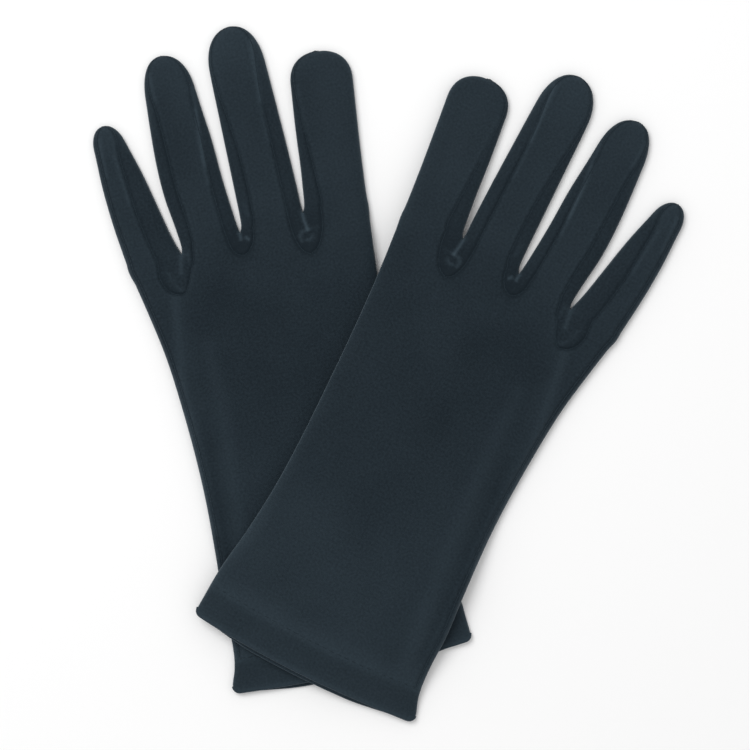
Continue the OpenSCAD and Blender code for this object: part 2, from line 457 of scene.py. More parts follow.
@dataclass
class Column:
    """The cells of one finger and of the hand below it, in one layer of cloth.

    Attributes:
        number: 0 for the index finger to 3 for the little finger.
        layer: the layer of cloth.
        points: places of the cells' corners, by row and by place across.
        hem_row: the row where the hem ends.
        hand_rows: how many rows belong to the hand.
        split_row: the row where the finger's end begins.
    """

    number: int
    layer: Layer
    points: np.ndarray
    hem_row: int
    hand_rows: int
    split_row: int

    @staticmethod
    def spread(edges: np.ndarray) -> np.ndarray:
        """Fill in the corners between a row's edges and seams, crowded towards both.

        Args:
            edges: for each row the thumb-side edge, its seam, the other seam and the little-side edge.

        Returns:
            The corners of every row.
        """
        rows = []
        for cells in (STRIP_CELLS, PANEL_CELLS, STRIP_CELLS):
            even = np.linspace(0.0, 1.0, cells + 1)
            rows.append(0.5 * even + 0.25 * (1.0 - np.cos(math.pi * even)))
        parts = [edges[:, None, k] + (edges[:, None, k + 1] - edges[:, None, k]) * rows[k][None, :, None]
                 for k in range(3)]
        return np.concatenate([parts[0][:, :-1], parts[1][:, :-1], parts[2]], axis=1)

    @classmethod
    def cut(cls, pattern: Pattern, number: int, layer: Layer) -> "Column":
        """Cut one column from the pattern.

        Args:
            pattern: the glove's pattern.
            number: 0 for the index finger to 3 for the little finger.
            layer: the layer of cloth.

        Returns:
            The column.
        """
        finger = pattern.fingers[number]
        left, right = pattern.boundary(number), pattern.boundary(number + 1)
        way = (right - left) / np.linalg.norm(right - left, axis=1, keepdims=True)
        low_in = pattern.strip_width(number, -1, left[:, 1])
        high_in = pattern.strip_width(number, 1, right[:, 1])
        hand = np.stack([left, left + way * low_in[:, None], right - way * high_in[:, None], right], axis=1)

        share = 1.0 - (1.0 - np.linspace(0.0, 1.0, FINGER_ROWS + 1)[1:]) ** TIP_CROWDING
        base, edges = np.array(finger.base), []
        for corner, sign, knots in ((left[-1], -1, finger.thumb_side), (right[-1], 1, finger.little_side)):
            start, off = (corner - base) @ finger.axis, (corner - base) @ finger.across
            along = start + (finger.length - start) * share
            miss = off - sign * float(finger.half_width(np.array([start]), knots)[0])
            drawn = sign * finger.half_width(along, knots)
            edges.append((along, drawn + miss * np.exp(-(along - start) / BASE_EASE)))
        (low_s, low_x), (high_s, high_x) = edges
        width = high_x - low_x
        seams = []
        for (s, x), knots, sign in ((edges[0], finger.thumb_seam, 1), (edges[1], finger.little_seam, -1)):
            place = x + sign * np.minimum(through(knots, s), SEAM_LIMIT * width)
            seams.append((low_s + (high_s - low_s) * (place - low_x) / np.maximum(width, 1e-6), place))
        ends = [base + s[:, None] * finger.axis + x[:, None] * finger.across
                for s, x in (edges[0], seams[0], seams[1], edges[1])]
        points = cls.spread(np.concatenate([hand, np.stack(ends, axis=1)]))
        outer = (pattern.boundary(0), pattern.boundary(4))
        for row in range(len(hand)):
            points[row] = pattern.bowed(points[row], outer[0][row], outer[1][row], layer)
        split = int(np.searchsorted((low_s + high_s) / 2, finger.split)) + len(hand)
        hem = int(np.searchsorted(left[:, 1], pattern.hem_depth))
        return cls(number, layer, points, hem, len(hand), split)

    def piece(self, row: int, cell: int) -> str:
        """Name the piece that a cell is cut from.

        Args:
            row: the cell's row from the cuff.
            cell: its place across.

        Returns:
            The piece's name without the glove's.
        """
        finger, cloth = FINGERS[self.number], self.layer.value
        side = -1 if cell < STRIP_CELLS else 1 if cell >= STRIP_CELLS + PANEL_CELLS else 0
        outer = (self.number, side) in ((0, -1), (3, 1))
        if row >= self.split_row:
            return f"{finger}_tip"
        if row >= self.hand_rows - 1:
            return f"{finger}_{cloth}" if outer or not side else FOURCHETTES[finger, side]
        if row < self.hem_row:
            return f"hem_{cloth}"
        if (self.number, side) == (3, 1):
            return "side_seam"
        if side and not outer:
            return f"crotch_{GAPS[self.number + (side - 1) // 2]}"
        return f"hand_{cloth}"

    def seams(self, pattern: Pattern) -> list[tuple[str, np.ndarray]]:
        """The seams that run up this column, each with the piece that it is sewn to.

        Args:
            pattern: the glove's pattern.

        Returns:
            Pairs of a piece's name and the seam's points.
        """
        runs = []
        for side, place in ((-1, STRIP_CELLS), (1, STRIP_CELLS + PANEL_CELLS)):
            if (self.number, side) == (0, -1):
                continue
            line, cell = self.points[:, place], place - (1 if side < 0 else 0)
            foot = self.hem_row
            if (self.number, side) != (3, 1):
                width = pattern.strip_width(self.number, side, self.points[:self.hand_rows, place, 1])
                foot = int(np.argmax(width > 0.0)) - 1
            for first, last in ((foot, self.hand_rows - 1), (self.hand_rows - 1, self.split_row),
                                (self.split_row, len(line) - 1)):
                runs.append((self.piece(first + 1, cell), line[first:last + 1]))
        return runs


@dataclass(frozen=True)
class Crease:
    """A soft fold or hollow in the cloth, painted paler along a fold and darker along a hollow.

    Attributes:
        route: the points that it follows.
        height: how far it stands up, or lies down if negative.
        width: how far it spreads.
        painted_light_gain: how much painted light it adds for each millimetre of height, so a fold is painted
            paler and a hollow darker.
    """

    route: tuple[Pair, ...]
    height: float
    width: float
    painted_light_gain: float = 1.3


@dataclass(frozen=True)
class Lines:
    """Places on the cloth, with how far each is from the glove's edges and from its seams.

    Attributes:
        points: places in the glove's frame.
        edge: how far each is from an edge.
        seam: how far each is from a seam.
    """

    points: np.ndarray
    edge: np.ndarray
    seam: np.ndarray


@dataclass(frozen=True)
class Relief:
    """How high the cloth of a glove lies above what it rests on, in millimetres, and where light and shade
    are painted on it.

    A fade holds where something begins and where it is whole. A band holds how far off a line the middle of a
    soft bump lies, and how wide the bump is. Painted light of 0 is plain, more is a painted highlight and
    less is painted shade.

    Attributes:
        floor: height of the palm's outside.
        edge: height of a folded edge.
        rounding: how far in from an edge the cloth is rounded.
        full: height of the back's outside at places along y.
        bed_floor: how much the thumb beneath lifts the palm.
        bed_edge: how much it lifts an edge.
        bed_full: how much it lifts the back.
        bed_side: fade of that lift along x.
        bed_foot: its fade along y at the thumb's lower end.
        bed_top: its fade along y at the thumb's tip.
        hem_end: y of the hem's end at the sides.
        hem_bow: how far it lies below that in the middle.
        hem_half: half the hem's width.
        hem_lift: how much the folded hem stands up.
        hem_fade: fade of that step above the hem's end.
        hem_ridge: height of the soft ridge above the hem.
        hem_band: its band above the hem's end.
        groove: depth of a seam's groove.
        groove_width: how wide it is.
        lip: height of the lip beside it.
        lip_band: its band off the seam.
        pucker: height of the small puckers beside a seam.
        pucker_turn: how fast they follow one another, in radians for each millimetre.
        pucker_drift: how far their pace drifts, and how fast.
        pucker_band: their band off the seam.
        sewn_fade: fade of a seam's relief, in from an edge.
        palm_seam: how much the palm is lifted along a seam.
        palm_share: how much of a seam's relief the palm shows, less than 0 since it faces down.
        palm_fade: fade of both off the seam.
        crease_fade: fade of the creases, in from an edge.
        broad: waves of the broad small folds across and along, for each millimetre, and their height.
        fine: the same for the fine ones.
        painted_light_along: painted light and shade at places along y, paler at the cuff and fingertips and
            darker over the hand.
        painted_edge_highlight: the painted highlight of an edge.
        painted_seam_shade: the painted shade of a seam.
        painted_line_width: how wide both are.
        painted_strip_shade: the painted shade of a fourchette, which turns away from the light.
        strip_fade: its fade along y.
        nap_crotch: the painted shadow beside the seams round the gaps' ends.
        crotch_width: how wide it is.
        crotch_foot: its fade along y.
        crotch_side: its fade along x.
        crotch_edge: its fade in from an edge.
        painted_lip_highlight: the painted highlight of the lip beside a seam.
        painted_lip_band: its band off the seam.
        nap_hem: the painted highlights along the hem, each with its strength, and its place and width above
            the hem's end.
        creases: the soft folds and hollows of the back, each also painted paler or darker.
    """

    floor: float = 0.25
    edge: float = 1.35
    rounding: float = 4.6
    full: Knots = ((-5, 2.15), (14, 2.7), (50, 3.8), (120, 4.2), (158, 4.0), (185, 3.6), (235, 3.3))
    bed_floor: float = 2.8
    bed_edge: float = 2.3
    bed_full: float = 1.2
    bed_side: Pair = (9.0, -4.0)
    bed_foot: Pair = (60.0, 75.0)
    bed_top: Pair = (160.0, 147.0)
    hem_end: float = 11.4
    hem_bow: float = 2.0
    hem_half: float = 42.0
    hem_lift: float = 0.4
    hem_fade: Pair = (0.4, -0.8)
    hem_ridge: float = 0.3
    hem_band: Pair = (2.4, 1.8)
    groove: float = 0.45
    groove_width: float = 0.6
    lip: float = 0.12
    lip_band: Pair = (1.1, 0.5)
    pucker: float = 0.07
    pucker_turn: float = 1.9
    pucker_drift: Pair = (2.0, 0.37)
    pucker_band: Pair = (1.2, 1.6)
    sewn_fade: Pair = (0.2, 3.2)
    palm_seam: float = 0.3
    palm_share: float = -0.5
    palm_fade: Pair = (3.0, 0.5)
    crease_fade: Pair = (0.5, 5.0)
    broad: tuple[float, float, float] = (0.045, 0.03, 0.3)
    fine: tuple[float, float, float] = (0.16, 0.11, 0.1)
    painted_light_along: Knots = ((-4, 0.4), (0, 0.4), (5, 0.1), (20, 0.2), (32, 0.1), (45, -0.2), (60, -0.4),
                        (80, -0.5), (100, -0.75), (125, -0.65), (150, -0.4), (163, -0.1), (180, 0.0),
                        (205, 0.1), (222, 0.5), (236, 0.8))
    painted_edge_highlight: float = 0.9
    painted_seam_shade: float = -1.05
    painted_line_width: float = 0.9
    painted_strip_shade: float = -0.7
    strip_fade: Pair = (222.0, 195.0)
    nap_crotch: float = -0.6
    crotch_width: float = 1.9
    crotch_foot: Pair = (166.0, 158.0)
    crotch_side: Pair = (21.0, 15.0)
    crotch_edge: Pair = (3.0, 6.0)
    painted_lip_highlight: float = 0.35
    painted_lip_band: Pair = (1.3, 0.55)
    nap_hem: tuple[tuple[float, float, float], ...] = ((1.2, 0.3, 1.8), (0.9, 3.0, 3.6), (1.6, -11.6, 1.0))
    # Each crease lifts or sinks the back and is painted paler or darker by its gain; the many that barely
    # lift the cloth are mostly painted highlights and painted shade.
    creases: tuple[Crease, ...] = (
        Crease(((24, 122), (24.6, 95), (26, 72), (28, 50), (29.5, 35), (32, 17)), 0.6, 3.2, 1.4),
        Crease(((32.6, 141), (34, 130), (36.4, 112), (37.2, 88), (37.4, 58)), 0.35, 2.0, 4.0),
        Crease(((31.5, 98), (33, 75), (34.2, 55), (35.5, 24)), -0.3, 2.0),
        Crease(((-16, 46), (-7, 37)), 0.5, 11.0, 0.8),
        Crease(((-14, 72), (-6, 68)), -0.7, 12.0, 0.4),
        Crease(((3, 130), (15, 137), (24, 131)), -0.4, 9.0),
        Crease(((-8, 113), (3, 102)), -0.3, 12.0, 0.8),
        Crease(((20, 70), (16, 45)), 0.2, 8.0, 1.2),
        Crease(((-30, 52), (-34, 24)), 0.35, 9.0, 1.0),
        Crease(((-37, 64), (-38.5, 36)), 0.15, 5.0, 1.6),
        Crease(((-33, 182), (-35.5, 208)), 0.3, 5.5, 1.0),
        Crease(((20, 186), (22.4, 212)), -0.2, 4.0, 1.4),
        Crease(((-39, 75), (-40, 35), (-42, 18)), 0.2, 2.5, 3.0),
        Crease(((-18.4, 161.6), (-18.6, 158.5), (-19.1, 155.3)), 0.4, 0.6, 14.0),
        Crease(((-18.8, 158.5), (-17.6, 150.5)), -0.1, 5.0, 6.0),
        Crease(((-19.1, 155.3), (-17, 154.9), (-15.7, 153.4), (-16.2, 151.8)), 0.25, 0.8, 11.0),
        Crease(((-20.3, 152.6), (-19, 151.6), (-18.2, 151.9)), 0.2, 0.7, 14.0),
        Crease(((4.6, 158), (4.9, 153.5)), -0.1, 4.5, 6.0),
        Crease(((-23.4, 155), (-20.4, 155.7)), 0.2, 0.6, 5.0),
        Crease(((-18.2, 146.5), (-17.4, 137)), 0.3, 1.3, 0.5),
        Crease(((-20.5, 145.5), (-25, 139)), 0.2, 1.4, 0.5),
        Crease(((-15.5, 145.5), (-11, 139)), 0.2, 1.4, 0.5),
        Crease(((5.1, 159.4), (4.9, 157.2)), 0.25, 0.6, 20.0),
        Crease(((2.9, 157.4), (2.3, 156.6)), 0.25, 0.6, 20.0),
        Crease(((0.6, 165.5), (1.2, 169)), 0.15, 1.1, 5.0),
        Crease(((4.8, 150.5), (4.0, 143)), 0.25, 1.3, 0.5),
        Crease(((26.8, 157.2), (27.6, 154), (28.3, 150)), 0.4, 0.8, 6.0),
        Crease(((24.2, 157.2), (26.8, 156.3), (29.6, 157)), 0.2, 0.9, 4.0),
        Crease(((24.6, 156), (24.2, 151), (25.8, 146), (29, 143.6), (31.6, 146.5), (32.8, 151)),
               0.15, 0.7, 8.0),
        Crease(((-12.2, 190), (-13.3, 213), (-14.2, 226)), 0.15, 0.75, 9.0),
        Crease(((-12.8, 204), (-13.3, 213), (-14.2, 226)), 0.15, 0.7, 15.0),
        Crease(((11.9, 179), (11.3, 196), (10.2, 214)), 0.15, 0.75, 11.0),
        Crease(((11.7, 186), (11.3, 196), (10.7, 206)), 0.15, 0.7, 18.0),
        Crease(((24.0, 212), (24.1, 222)), 0.15, 0.8, 9.0),
        Crease(((41, 178), (42.6, 196)), 0.15, 0.7, 7.0),
        Crease(((46.9, 190), (46.6, 203)), 0.15, 0.8, 9.0),
        Crease(((-25.8, 190), (-26.4, 206)), 0.15, 0.8, 9.0),
        Crease(((-7.6, 232), (-7.6, 227)), 0.05, 9.0, 8.0),
        Crease(((19, 227), (19, 222)), 0.05, 7.0, 7.0),
        Crease(((44.6, 207), (43.5, 202)), 0.05, 6.0, 14.0),
        Crease(((29, 149), (31, 128), (33, 108), (33.5, 92)), 0.25, 3.6, 1.8),
    )

    def bed(self, points: np.ndarray) -> np.ndarray:
        """Where the palm is lifted by the thumb beneath it, open to the thumb's side.

        Args:
            points: places in the glove's frame.

        Returns:
            1 over the thumb and 0 away from it.
        """
        x, y = points[:, 0], points[:, 1]
        return smooth_step(x, *self.bed_side) * smooth_step(y, *self.bed_foot) * smooth_step(y, *self.bed_top)

    def crinkle(self, points: np.ndarray, seed: float) -> np.ndarray:
        """Small uneven folds all over.

        Args:
            points: places in the glove's frame.
            seed: a number that makes each layer's folds its own.

        Returns:
            Heights about zero.
        """
        height = np.empty(len(points))
        for index, (x, y) in enumerate(points):
            broad = noise.fractal(Vector((x * self.broad[0], y * self.broad[1], seed)), 1.0, 2.0, 2)
            fine = noise.fractal(Vector((x * self.fine[0], y * self.fine[1], seed + 9.0)), 1.0, 2.0, 3)
            height[index] = self.broad[2] * broad + self.fine[2] * fine
        return height

    def lift(self, lines: Lines, crinkle: np.ndarray, as_painted_light: bool) -> np.ndarray:
        """The soft folds and hollows of the back, as heights or as the painted light and shade that they
        bring.

        Args:
            lines: the places with their distances.
            crinkle: the small uneven folds.
            as_painted_light: whether each crease is weighed by its painted-light gain.

        Returns:
            Numbers about zero.
        """
        total = crinkle.copy()
        for crease in self.creases:
            weight = crease.height * (crease.painted_light_gain if as_painted_light else 1.0)
            total += weight * hill(distance_to(lines.points, np.array(crease.route, float)), crease.width)
        return total

    def above_hem(self, points: np.ndarray) -> np.ndarray:
        """How far each place lies above the hem's end, which is bowed as the cuff is."""
        bow = np.clip(1.0 - (points[:, 0] / self.hem_half) ** 2, 0.0, 1.0)
        return points[:, 1] - (self.hem_end - self.hem_bow * bow)

    def painted_light(self, lines: Lines, strip: np.ndarray, layer: Layer, crinkle: np.ndarray) -> np.ndarray:
        """Paint light and shade on the cloth: painted highlights on ridges and along edges, painted shade in
        hollows and seams.

        Args:
            lines: the places with their distances.
            strip: 1 on the fourchettes and 0 elsewhere.
            layer: the layer of cloth.
            crinkle: the small uneven folds.

        Returns:
            A number about zero at each place.
        """
        x, y = lines.points.T
        # folds and crinkles painted paler, hollows painted darker
        painted_light = self.lift(lines, crinkle, True) if layer is Layer.BACK else crinkle.copy()
        # painted light and shade up the glove, a painted highlight on every edge and painted shade in every
        # seam
        painted_light += through(self.painted_light_along, y)
        painted_light += self.painted_edge_highlight * hill(lines.edge, self.painted_line_width)
        painted_light += self.painted_seam_shade * hill(lines.seam, self.painted_line_width)
        # painted shade on the fourchettes, which turn away from the light
        painted_light += self.painted_strip_shade * strip * smooth_step(y, *self.strip_fade)
        # a painted shadow ring beside the seams round the gaps' ends
        crotch = smooth_step(y, *self.crotch_foot) * smooth_step(x, *self.crotch_side)
        crotch *= smooth_step(lines.edge, *self.crotch_edge)
        painted_light += self.nap_crotch * hill(lines.seam, self.crotch_width) * crotch
        # a painted highlight on the lip beside each seam
        painted_light += self.painted_lip_highlight * (1.0 - strip) * band(lines.seam, self.painted_lip_band)
        # painted highlights in bands along the hem
        above = self.above_hem(lines.points)
        for shade, *place in self.nap_hem:
            painted_light += shade * band(above, place)
        return painted_light

    def heights(self, lines: Lines, layer: Layer, crinkle: np.ndarray) -> np.ndarray:
        """Heights of one layer of cloth.

        Args:
            lines: the places with their distances.
            layer: the layer of cloth.
            crinkle: the small uneven folds.

        Returns:
            The height of the outside of the cloth at each place.
        """
        edge, seam, y = lines.edge, lines.seam, lines.points[:, 1]
        bed = self.bed(lines.points)
        middle = self.edge + self.bed_edge * bed
        crown = rounded(1.0 - np.clip(edge / self.rounding, 0.0, 1.0), CROWN_CURVE)
        inner = smooth_step(edge, *self.sewn_fade)
        drift, pace = self.pucker_drift
        turn = y * self.pucker_turn + drift * np.sin(y * pace)
        pucker = self.pucker * np.sin(turn) * band(seam, self.pucker_band)
        sewn = pucker + self.lip * band(seam, self.lip_band) - self.groove * hill(seam, self.groove_width)
        if layer is Layer.PALM:
            low = self.floor + self.bed_floor * bed
            near_seam = inner * smooth_step(seam, *self.palm_fade)
            return middle + (low - middle) * crown + (self.palm_seam + self.palm_share * sewn) * near_seam
        above = self.above_hem(lines.points)
        top = through(self.full, y) + self.bed_full * bed
        top += self.lift(lines, crinkle, False) * smooth_step(edge, *self.crease_fade)
        top += self.hem_lift * smooth_step(above, *self.hem_fade)
        top += self.hem_ridge * band(above, self.hem_band)
        return middle + (top + sewn * inner - middle) * crown


# Shallow hollows of the left glove, which mostly add painted shade through their gain.
LEFT_PAINTED_HOLLOWS = (
    Crease(((-29.5, 206), (-28.6, 184)), -0.15, 7.0, 4.0),
    Crease(((21.5, 222), (19.5, 188)), -0.1, 6.0, 4.0),
    Crease(((12, 152), (16, 144)), -0.1, 8.0, 5.0),
)


# --- laying the cloth -----------------------------------------------------------------------------


@dataclass(frozen=True)
class Place:
    """Where a glove lies: its cuff's middle in the row's frame and how it is turned.

    Attributes:
        side: the hand it is for.
        at: the cuff's middle, in millimetres.
        turn: its turn from the row's +Y, in degrees, anticlockwise.
    """

    side: Side
    at: Pair
    turn: float

    @property
    def turned(self) -> np.ndarray:
        """The matrix that takes the glove's directions to the row's."""
        turn, flip = math.radians(self.turn), -1.0 if self.side is Side.LEFT else 1.0
        return np.array([[flip * math.cos(turn), -math.sin(turn)], [flip * math.sin(turn), math.cos(turn)]])

    def to_row(self, points: np.ndarray) -> np.ndarray:
        """Take places in the glove's frame to the row's frame."""
        return points @ self.turned.T + np.array(self.at)

    def to_glove(self, points: np.ndarray) -> np.ndarray:
        """Take places in the row's frame to the glove's frame."""
        return (points - np.array(self.at)) @ self.turned


LEFT_PLACE = Place(Side.LEFT, (-13.3, -104.2), 12.75)
RIGHT_PLACE = Place(Side.RIGHT, (-29.8, -104.7), -26.8)


@dataclass
class Cloth:
    """The cells of both layers of one glove, with its edges and seams.

    Attributes:
        pattern: the glove's pattern.
        relief: how high the cloth lies.
        place: where the glove lies.
        under: the cloth that this glove lies over, if any.
        seed: a number that makes this glove's folds its own.
        over_hand: how high this glove is lifted over the hand beneath it.
        over_cuff: how high it is lifted over the cuff beneath it.
        hand_fade: fade from the cuff to the hand beneath, along its y.
        drape_out: how far beyond the edge of the glove beneath the lift begins, at its cuff.
        drape_more: how much further out it begins at its hand.
        drape_in: how far inside that edge the lift is whole.
        clear: height of this glove's floor where nothing lies beneath it.
        columns: the cells of each layer, by finger.
        outline: the lines of the glove's edges.
        seams: each layer's seams with the pieces that they are sewn to.
        to_edge: measures how far a place is from the edges.
        to_seam: measures how far a place is from a layer's seams.
    """

    pattern: Pattern
    relief: Relief
    place: Place
    under: "Cloth | None" = None
    seed: float = 0.0
    over_hand: float = 5.75
    over_cuff: float = 4.5
    hand_fade: Pair = (38.0, 70.0)
    drape_out: float = 26.0
    drape_more: float = 30.0
    drape_in: float = 4.0
    clear: float = 0.1
    columns: dict[Layer, list[Column]] = field(init=False)
    outline: list[np.ndarray] = field(init=False)
    seams: dict[Layer, list[tuple[str, np.ndarray]]] = field(init=False)
    to_edge: Nearest = field(init=False)
    to_seam: dict[Layer, Nearest] = field(init=False)

    def __post_init__(self) -> None:
        """Cut every column and find the edges and seams."""
        self.columns = {layer: [Column.cut(self.pattern, number, layer) for number in range(len(FINGERS))]
                        for layer in Layer}
        back = self.columns[Layer.BACK]
        self.outline = [back[0].points[:, 0], back[-1].points[:, -1]]
        for column in back:
            rows = column.points[column.hand_rows - 1:]
            self.outline += [rows[:, 0], rows[:, -1]]
        self.seams = {layer: [run for column in self.columns[layer] for run in column.seams(self.pattern)]
                      for layer in Layer}
        self.to_edge = Nearest(self.outline)
        self.to_seam = {layer: Nearest([line for _, line in self.seams[layer]]) for layer in Layer}

    def ring(self) -> np.ndarray:
        """The closed outline of the glove in its own frame.

        Returns:
            The outline's corners in order.
        """
        parts = [self.outline[0][:-1]]
        for column in self.columns[Layer.BACK]:
            rows = column.points[column.hand_rows - 1:]
            parts += [rows[:, 0], rows[::-1, -1]]
        parts.append(self.outline[1][::-1])
        return np.concatenate(parts)[::3]

    def rise(self, row_points: np.ndarray) -> np.ndarray:
        """How high the glove's own floor is, because of the glove beneath it.

        Args:
            row_points: places in the row's frame.

        Returns:
            The height at each place.
        """
        if self.under is None:
            return np.zeros(len(row_points))
        ring = self.under.ring()
        local = self.under.place.to_glove(row_points)
        away = Nearest([np.concatenate([ring, ring[:1]])])(local) * np.where(inside(local, ring), -1.0, 1.0)
        hand = smooth_step(local[:, 1], *self.hand_fade)
        high = self.over_cuff + (self.over_hand - self.over_cuff) * hand
        return self.clear + high * smooth_step(away, self.drape_out + self.drape_more * hand, -self.drape_in)

    def lay(self, points: np.ndarray, heights: np.ndarray) -> np.ndarray:
        """Take places on the cloth, with their heights above the glove's own floor, to the row's frame."""
        row = self.place.to_row(points)
        return np.column_stack([row, heights + self.rise(row)])

    def lines(self, points: np.ndarray, layer: Layer) -> Lines:
        """Measure places on one layer."""
        return Lines(points, self.to_edge(points), self.to_seam[layer](points))

    def heights(self, points: np.ndarray, layer: Layer) -> np.ndarray:
        """Heights of one layer above the glove's own floor, at places in the glove's frame."""
        return self.relief.heights(self.lines(points, layer), layer, self.relief.crinkle(points, self.seed))

    def skin(self, names: list[str]) -> bmesh.types.BMesh:
        """Make the outside of the whole glove as one welded surface.

        Args:
            names: the pieces' names; each face carries its piece's place in this list.

        Returns:
            The surface in the row's frame, in millimetres.
        """
        skin = bmesh.new()
        for layer, columns in self.columns.items():
            for column in columns:
                part = column_grid(column, names)
                flat = part.verts.layers.float_vector["flat"]
                spots = np.array([vert[flat] for vert in part.verts])
                lines = self.lines(spots[:, :2], layer)
                crinkle = self.relief.crinkle(lines.points, self.seed)
                laid = self.lay(lines.points, self.relief.heights(lines, layer, crinkle))
                # Each corner keeps its painted light and shade in the third number of its place on the cut.
                painted_light = self.relief.painted_light(lines, spots[:, 2], layer, crinkle)
                for vert, spot, shade in zip(part.verts, laid, painted_light):
                    vert.co, vert[flat].z = spot, shade
                if (layer is Layer.PALM) != (self.place.side is Side.LEFT):
                    bmesh.ops.reverse_faces(part, faces=part.faces[:])
                append(skin, part)
        weld(skin)
        return skin


def new_mesh() -> bmesh.types.BMesh:
    """Start a mesh with the layers of every piece.

    Returns:
        The mesh; its corners carry their place on the cut with their painted light and shade, and the way
        that is outward, and its faces carry their piece and their wall.
    """
    mesh = bmesh.new()
    for name in ("flat", "outward"):
        mesh.verts.layers.float_vector.new(name)
    for name in ("piece", "wall"):
        mesh.faces.layers.int.new(name)
    return mesh


def weld(skin: bmesh.types.BMesh) -> None:
    """Join the parts of a surface and note at each corner which way is outward.

    Args:
        skin: the parts in one mesh.
    """
    bmesh.ops.remove_doubles(skin, verts=skin.verts[:], dist=WELD)
    skin.normal_update()
    outward = skin.verts.layers.float_vector["outward"]
    for vert in skin.verts:
        vert[outward] = vert.normal


def append(whole: bmesh.types.BMesh, part: bmesh.types.BMesh) -> None:
    """Move a mesh's faces into another mesh and free it.

    Args:
        whole: the mesh that takes them.
        part: the mesh that gives them.
    """
    carrier = bpy.data.meshes.new("carrier")
    part.to_mesh(carrier)
    whole.from_mesh(carrier)
    bpy.data.meshes.remove(carrier)
    part.free()


def column_grid(column: Column, names: list[str]) -> bmesh.types.BMesh:
    """Make one column's cells as a grid, flat, with each face marked with its piece.

    Args:
        column: the column.
        names: the pieces' names.

    Returns:
        The grid; each corner carries its place on the cut, and 1 where it is on a fourchette.
    """
    rows, cells = column.points.shape[0] - 1, column.points.shape[1] - 1
    grid = new_mesh()
    bmesh.ops.create_grid(grid, x_segments=cells, y_segments=rows, size=1.0)
    piece, flat = grid.faces.layers.int["piece"], grid.verts.layers.float_vector["flat"]
    number = {name: index for index, name in enumerate(names)}
    for face in grid.faces:
        middle = face.calc_center_median()
        row, cell = int((middle.y + 1.0) / 2.0 * rows), int((middle.x + 1.0) / 2.0 * cells)
        face[piece] = number[column.piece(row, cell)]
        face.smooth = True
    for vert in grid.verts:
        row, place = round((vert.co.y + 1.0) / 2.0 * rows), round((vert.co.x + 1.0) / 2.0 * cells)
        spot, seam = column.points[row, place], STRIP_CELLS + (PANEL_CELLS if place > cells / 2 else 0)
        beside_gap = ((place < STRIP_CELLS and column.number > 0)
                      or (place > STRIP_CELLS + PANEL_CELLS and column.number < len(GAPS)))
        strip = beside_gap and math.dist(spot, column.points[row, seam]) > STRIP_LEAST
        vert[flat] = (*spot, float(strip))
    return grid


def thicken(shell: bmesh.types.BMesh, thickness: float) -> None:
    """Give an open surface its thickness on the inside.

    Args:
        shell: the surface; each corner carries its outward way.
        thickness: of the cloth.
    """
    wall, outward = shell.faces.layers.int["wall"], shell.verts.layers.float_vector["outward"]
    inner, inner_verts = shell.faces[:], shell.verts[:]
    made = bmesh.ops.extrude_face_region(shell, geom=inner, use_keep_orig=True)["geom"]
    outer = [item for item in made if isinstance(item, bmesh.types.BMFace)]
    for face in shell.faces:
        face[wall] = Wall.RIM.value
    for face in inner:
        face[wall] = Wall.INSIDE.value
    for face in outer:
        face[wall] = Wall.OUTSIDE.value
    for vert in inner_verts:
        vert.co -= vert[outward] * thickness


def rolled(path: np.ndarray, radius: float, wobble: float = 0.0, painted_light: float = 0.0) -> bmesh.types.BMesh:
    """Make a thin closed roll of cloth or thread along a path.

    Args:
        path: the points of its middle line.
        radius: its radius.
        wobble: how much the stitches pinch it, as a share of the radius.
        painted_light: its painted light; above 0 the roll is painted paler.

    Returns:
        The roll.
    """
    curve = bpy.data.curves.new("roll", "CURVE")
    curve.dimensions, curve.bevel_depth, curve.bevel_resolution, curve.use_fill_caps = "3D", radius, 1, True
    spline = curve.splines.new("POLY")
    spline.points.add(len(path) - 1)
    travelled = np.concatenate([[0.0], np.cumsum(np.linalg.norm(np.diff(path, axis=0), axis=1))])
    for point, spot, far in zip(spline.points, path, travelled):
        point.co = (*spot, 1.0)
        point.radius = 1.0 + wobble * math.sin(2.0 * math.pi * far / STITCH_PITCH)
    holder = bpy.data.objects.new("roll", curve)
    mesh = bpy.data.meshes.new_from_object(holder)
    roll = new_mesh()
    roll.from_mesh(mesh)
    flat, wall = roll.verts.layers.float_vector["flat"], roll.faces.layers.int["wall"]
    for vert in roll.verts:
        vert[flat] = (vert.co.x, vert.co.y, painted_light)
    for face in roll.faces:
        face[wall], face.smooth = Wall.ROLL.value, True
    bpy.data.objects.remove(holder)
    bpy.data.curves.remove(curve)
    bpy.data.meshes.remove(mesh)
    return roll


# --- the finishes ---------------------------------------------------------------------------------

LOOP_HEIGHT = 0.8            # a knitted loop's height, as a share of its width
LOOP_SLANT = 1.4             # how steeply its legs lean, in loops
KNIT_ROWS = 0.35             # how much of the knit's height its rows make; its upright wales make the rest
CLOUDS = (("Fuzz", 1150.0, 3.0), ("Dye", 55.0, 4.0))   # each unevenness with its scale and detail


def new_group(
    name: str, inputs: dict[str, tuple[str, float]], outputs: dict[str, str]
) -> bpy.types.ShaderNodeTree:
    """Start a shader node group.

    Args:
        name: the group's name.
        inputs: for each input its socket's kind and its first value.
        outputs: for each output its socket's kind.

    Returns:
        The group with its sockets and its input and output nodes.
    """
    group = bpy.data.node_groups.new(name, "ShaderNodeTree")
    for label, (kind, value) in inputs.items():
        socket = group.interface.new_socket(label, in_out="INPUT", socket_type=kind)
        if kind == "NodeSocketFloat":
            socket.default_value = value
    for label, kind in outputs.items():
        group.interface.new_socket(label, in_out="OUTPUT", socket_type=kind)
    group.nodes.new("NodeGroupInput").name = "in"
    group.nodes.new("NodeGroupOutput").name = "out"
    return group


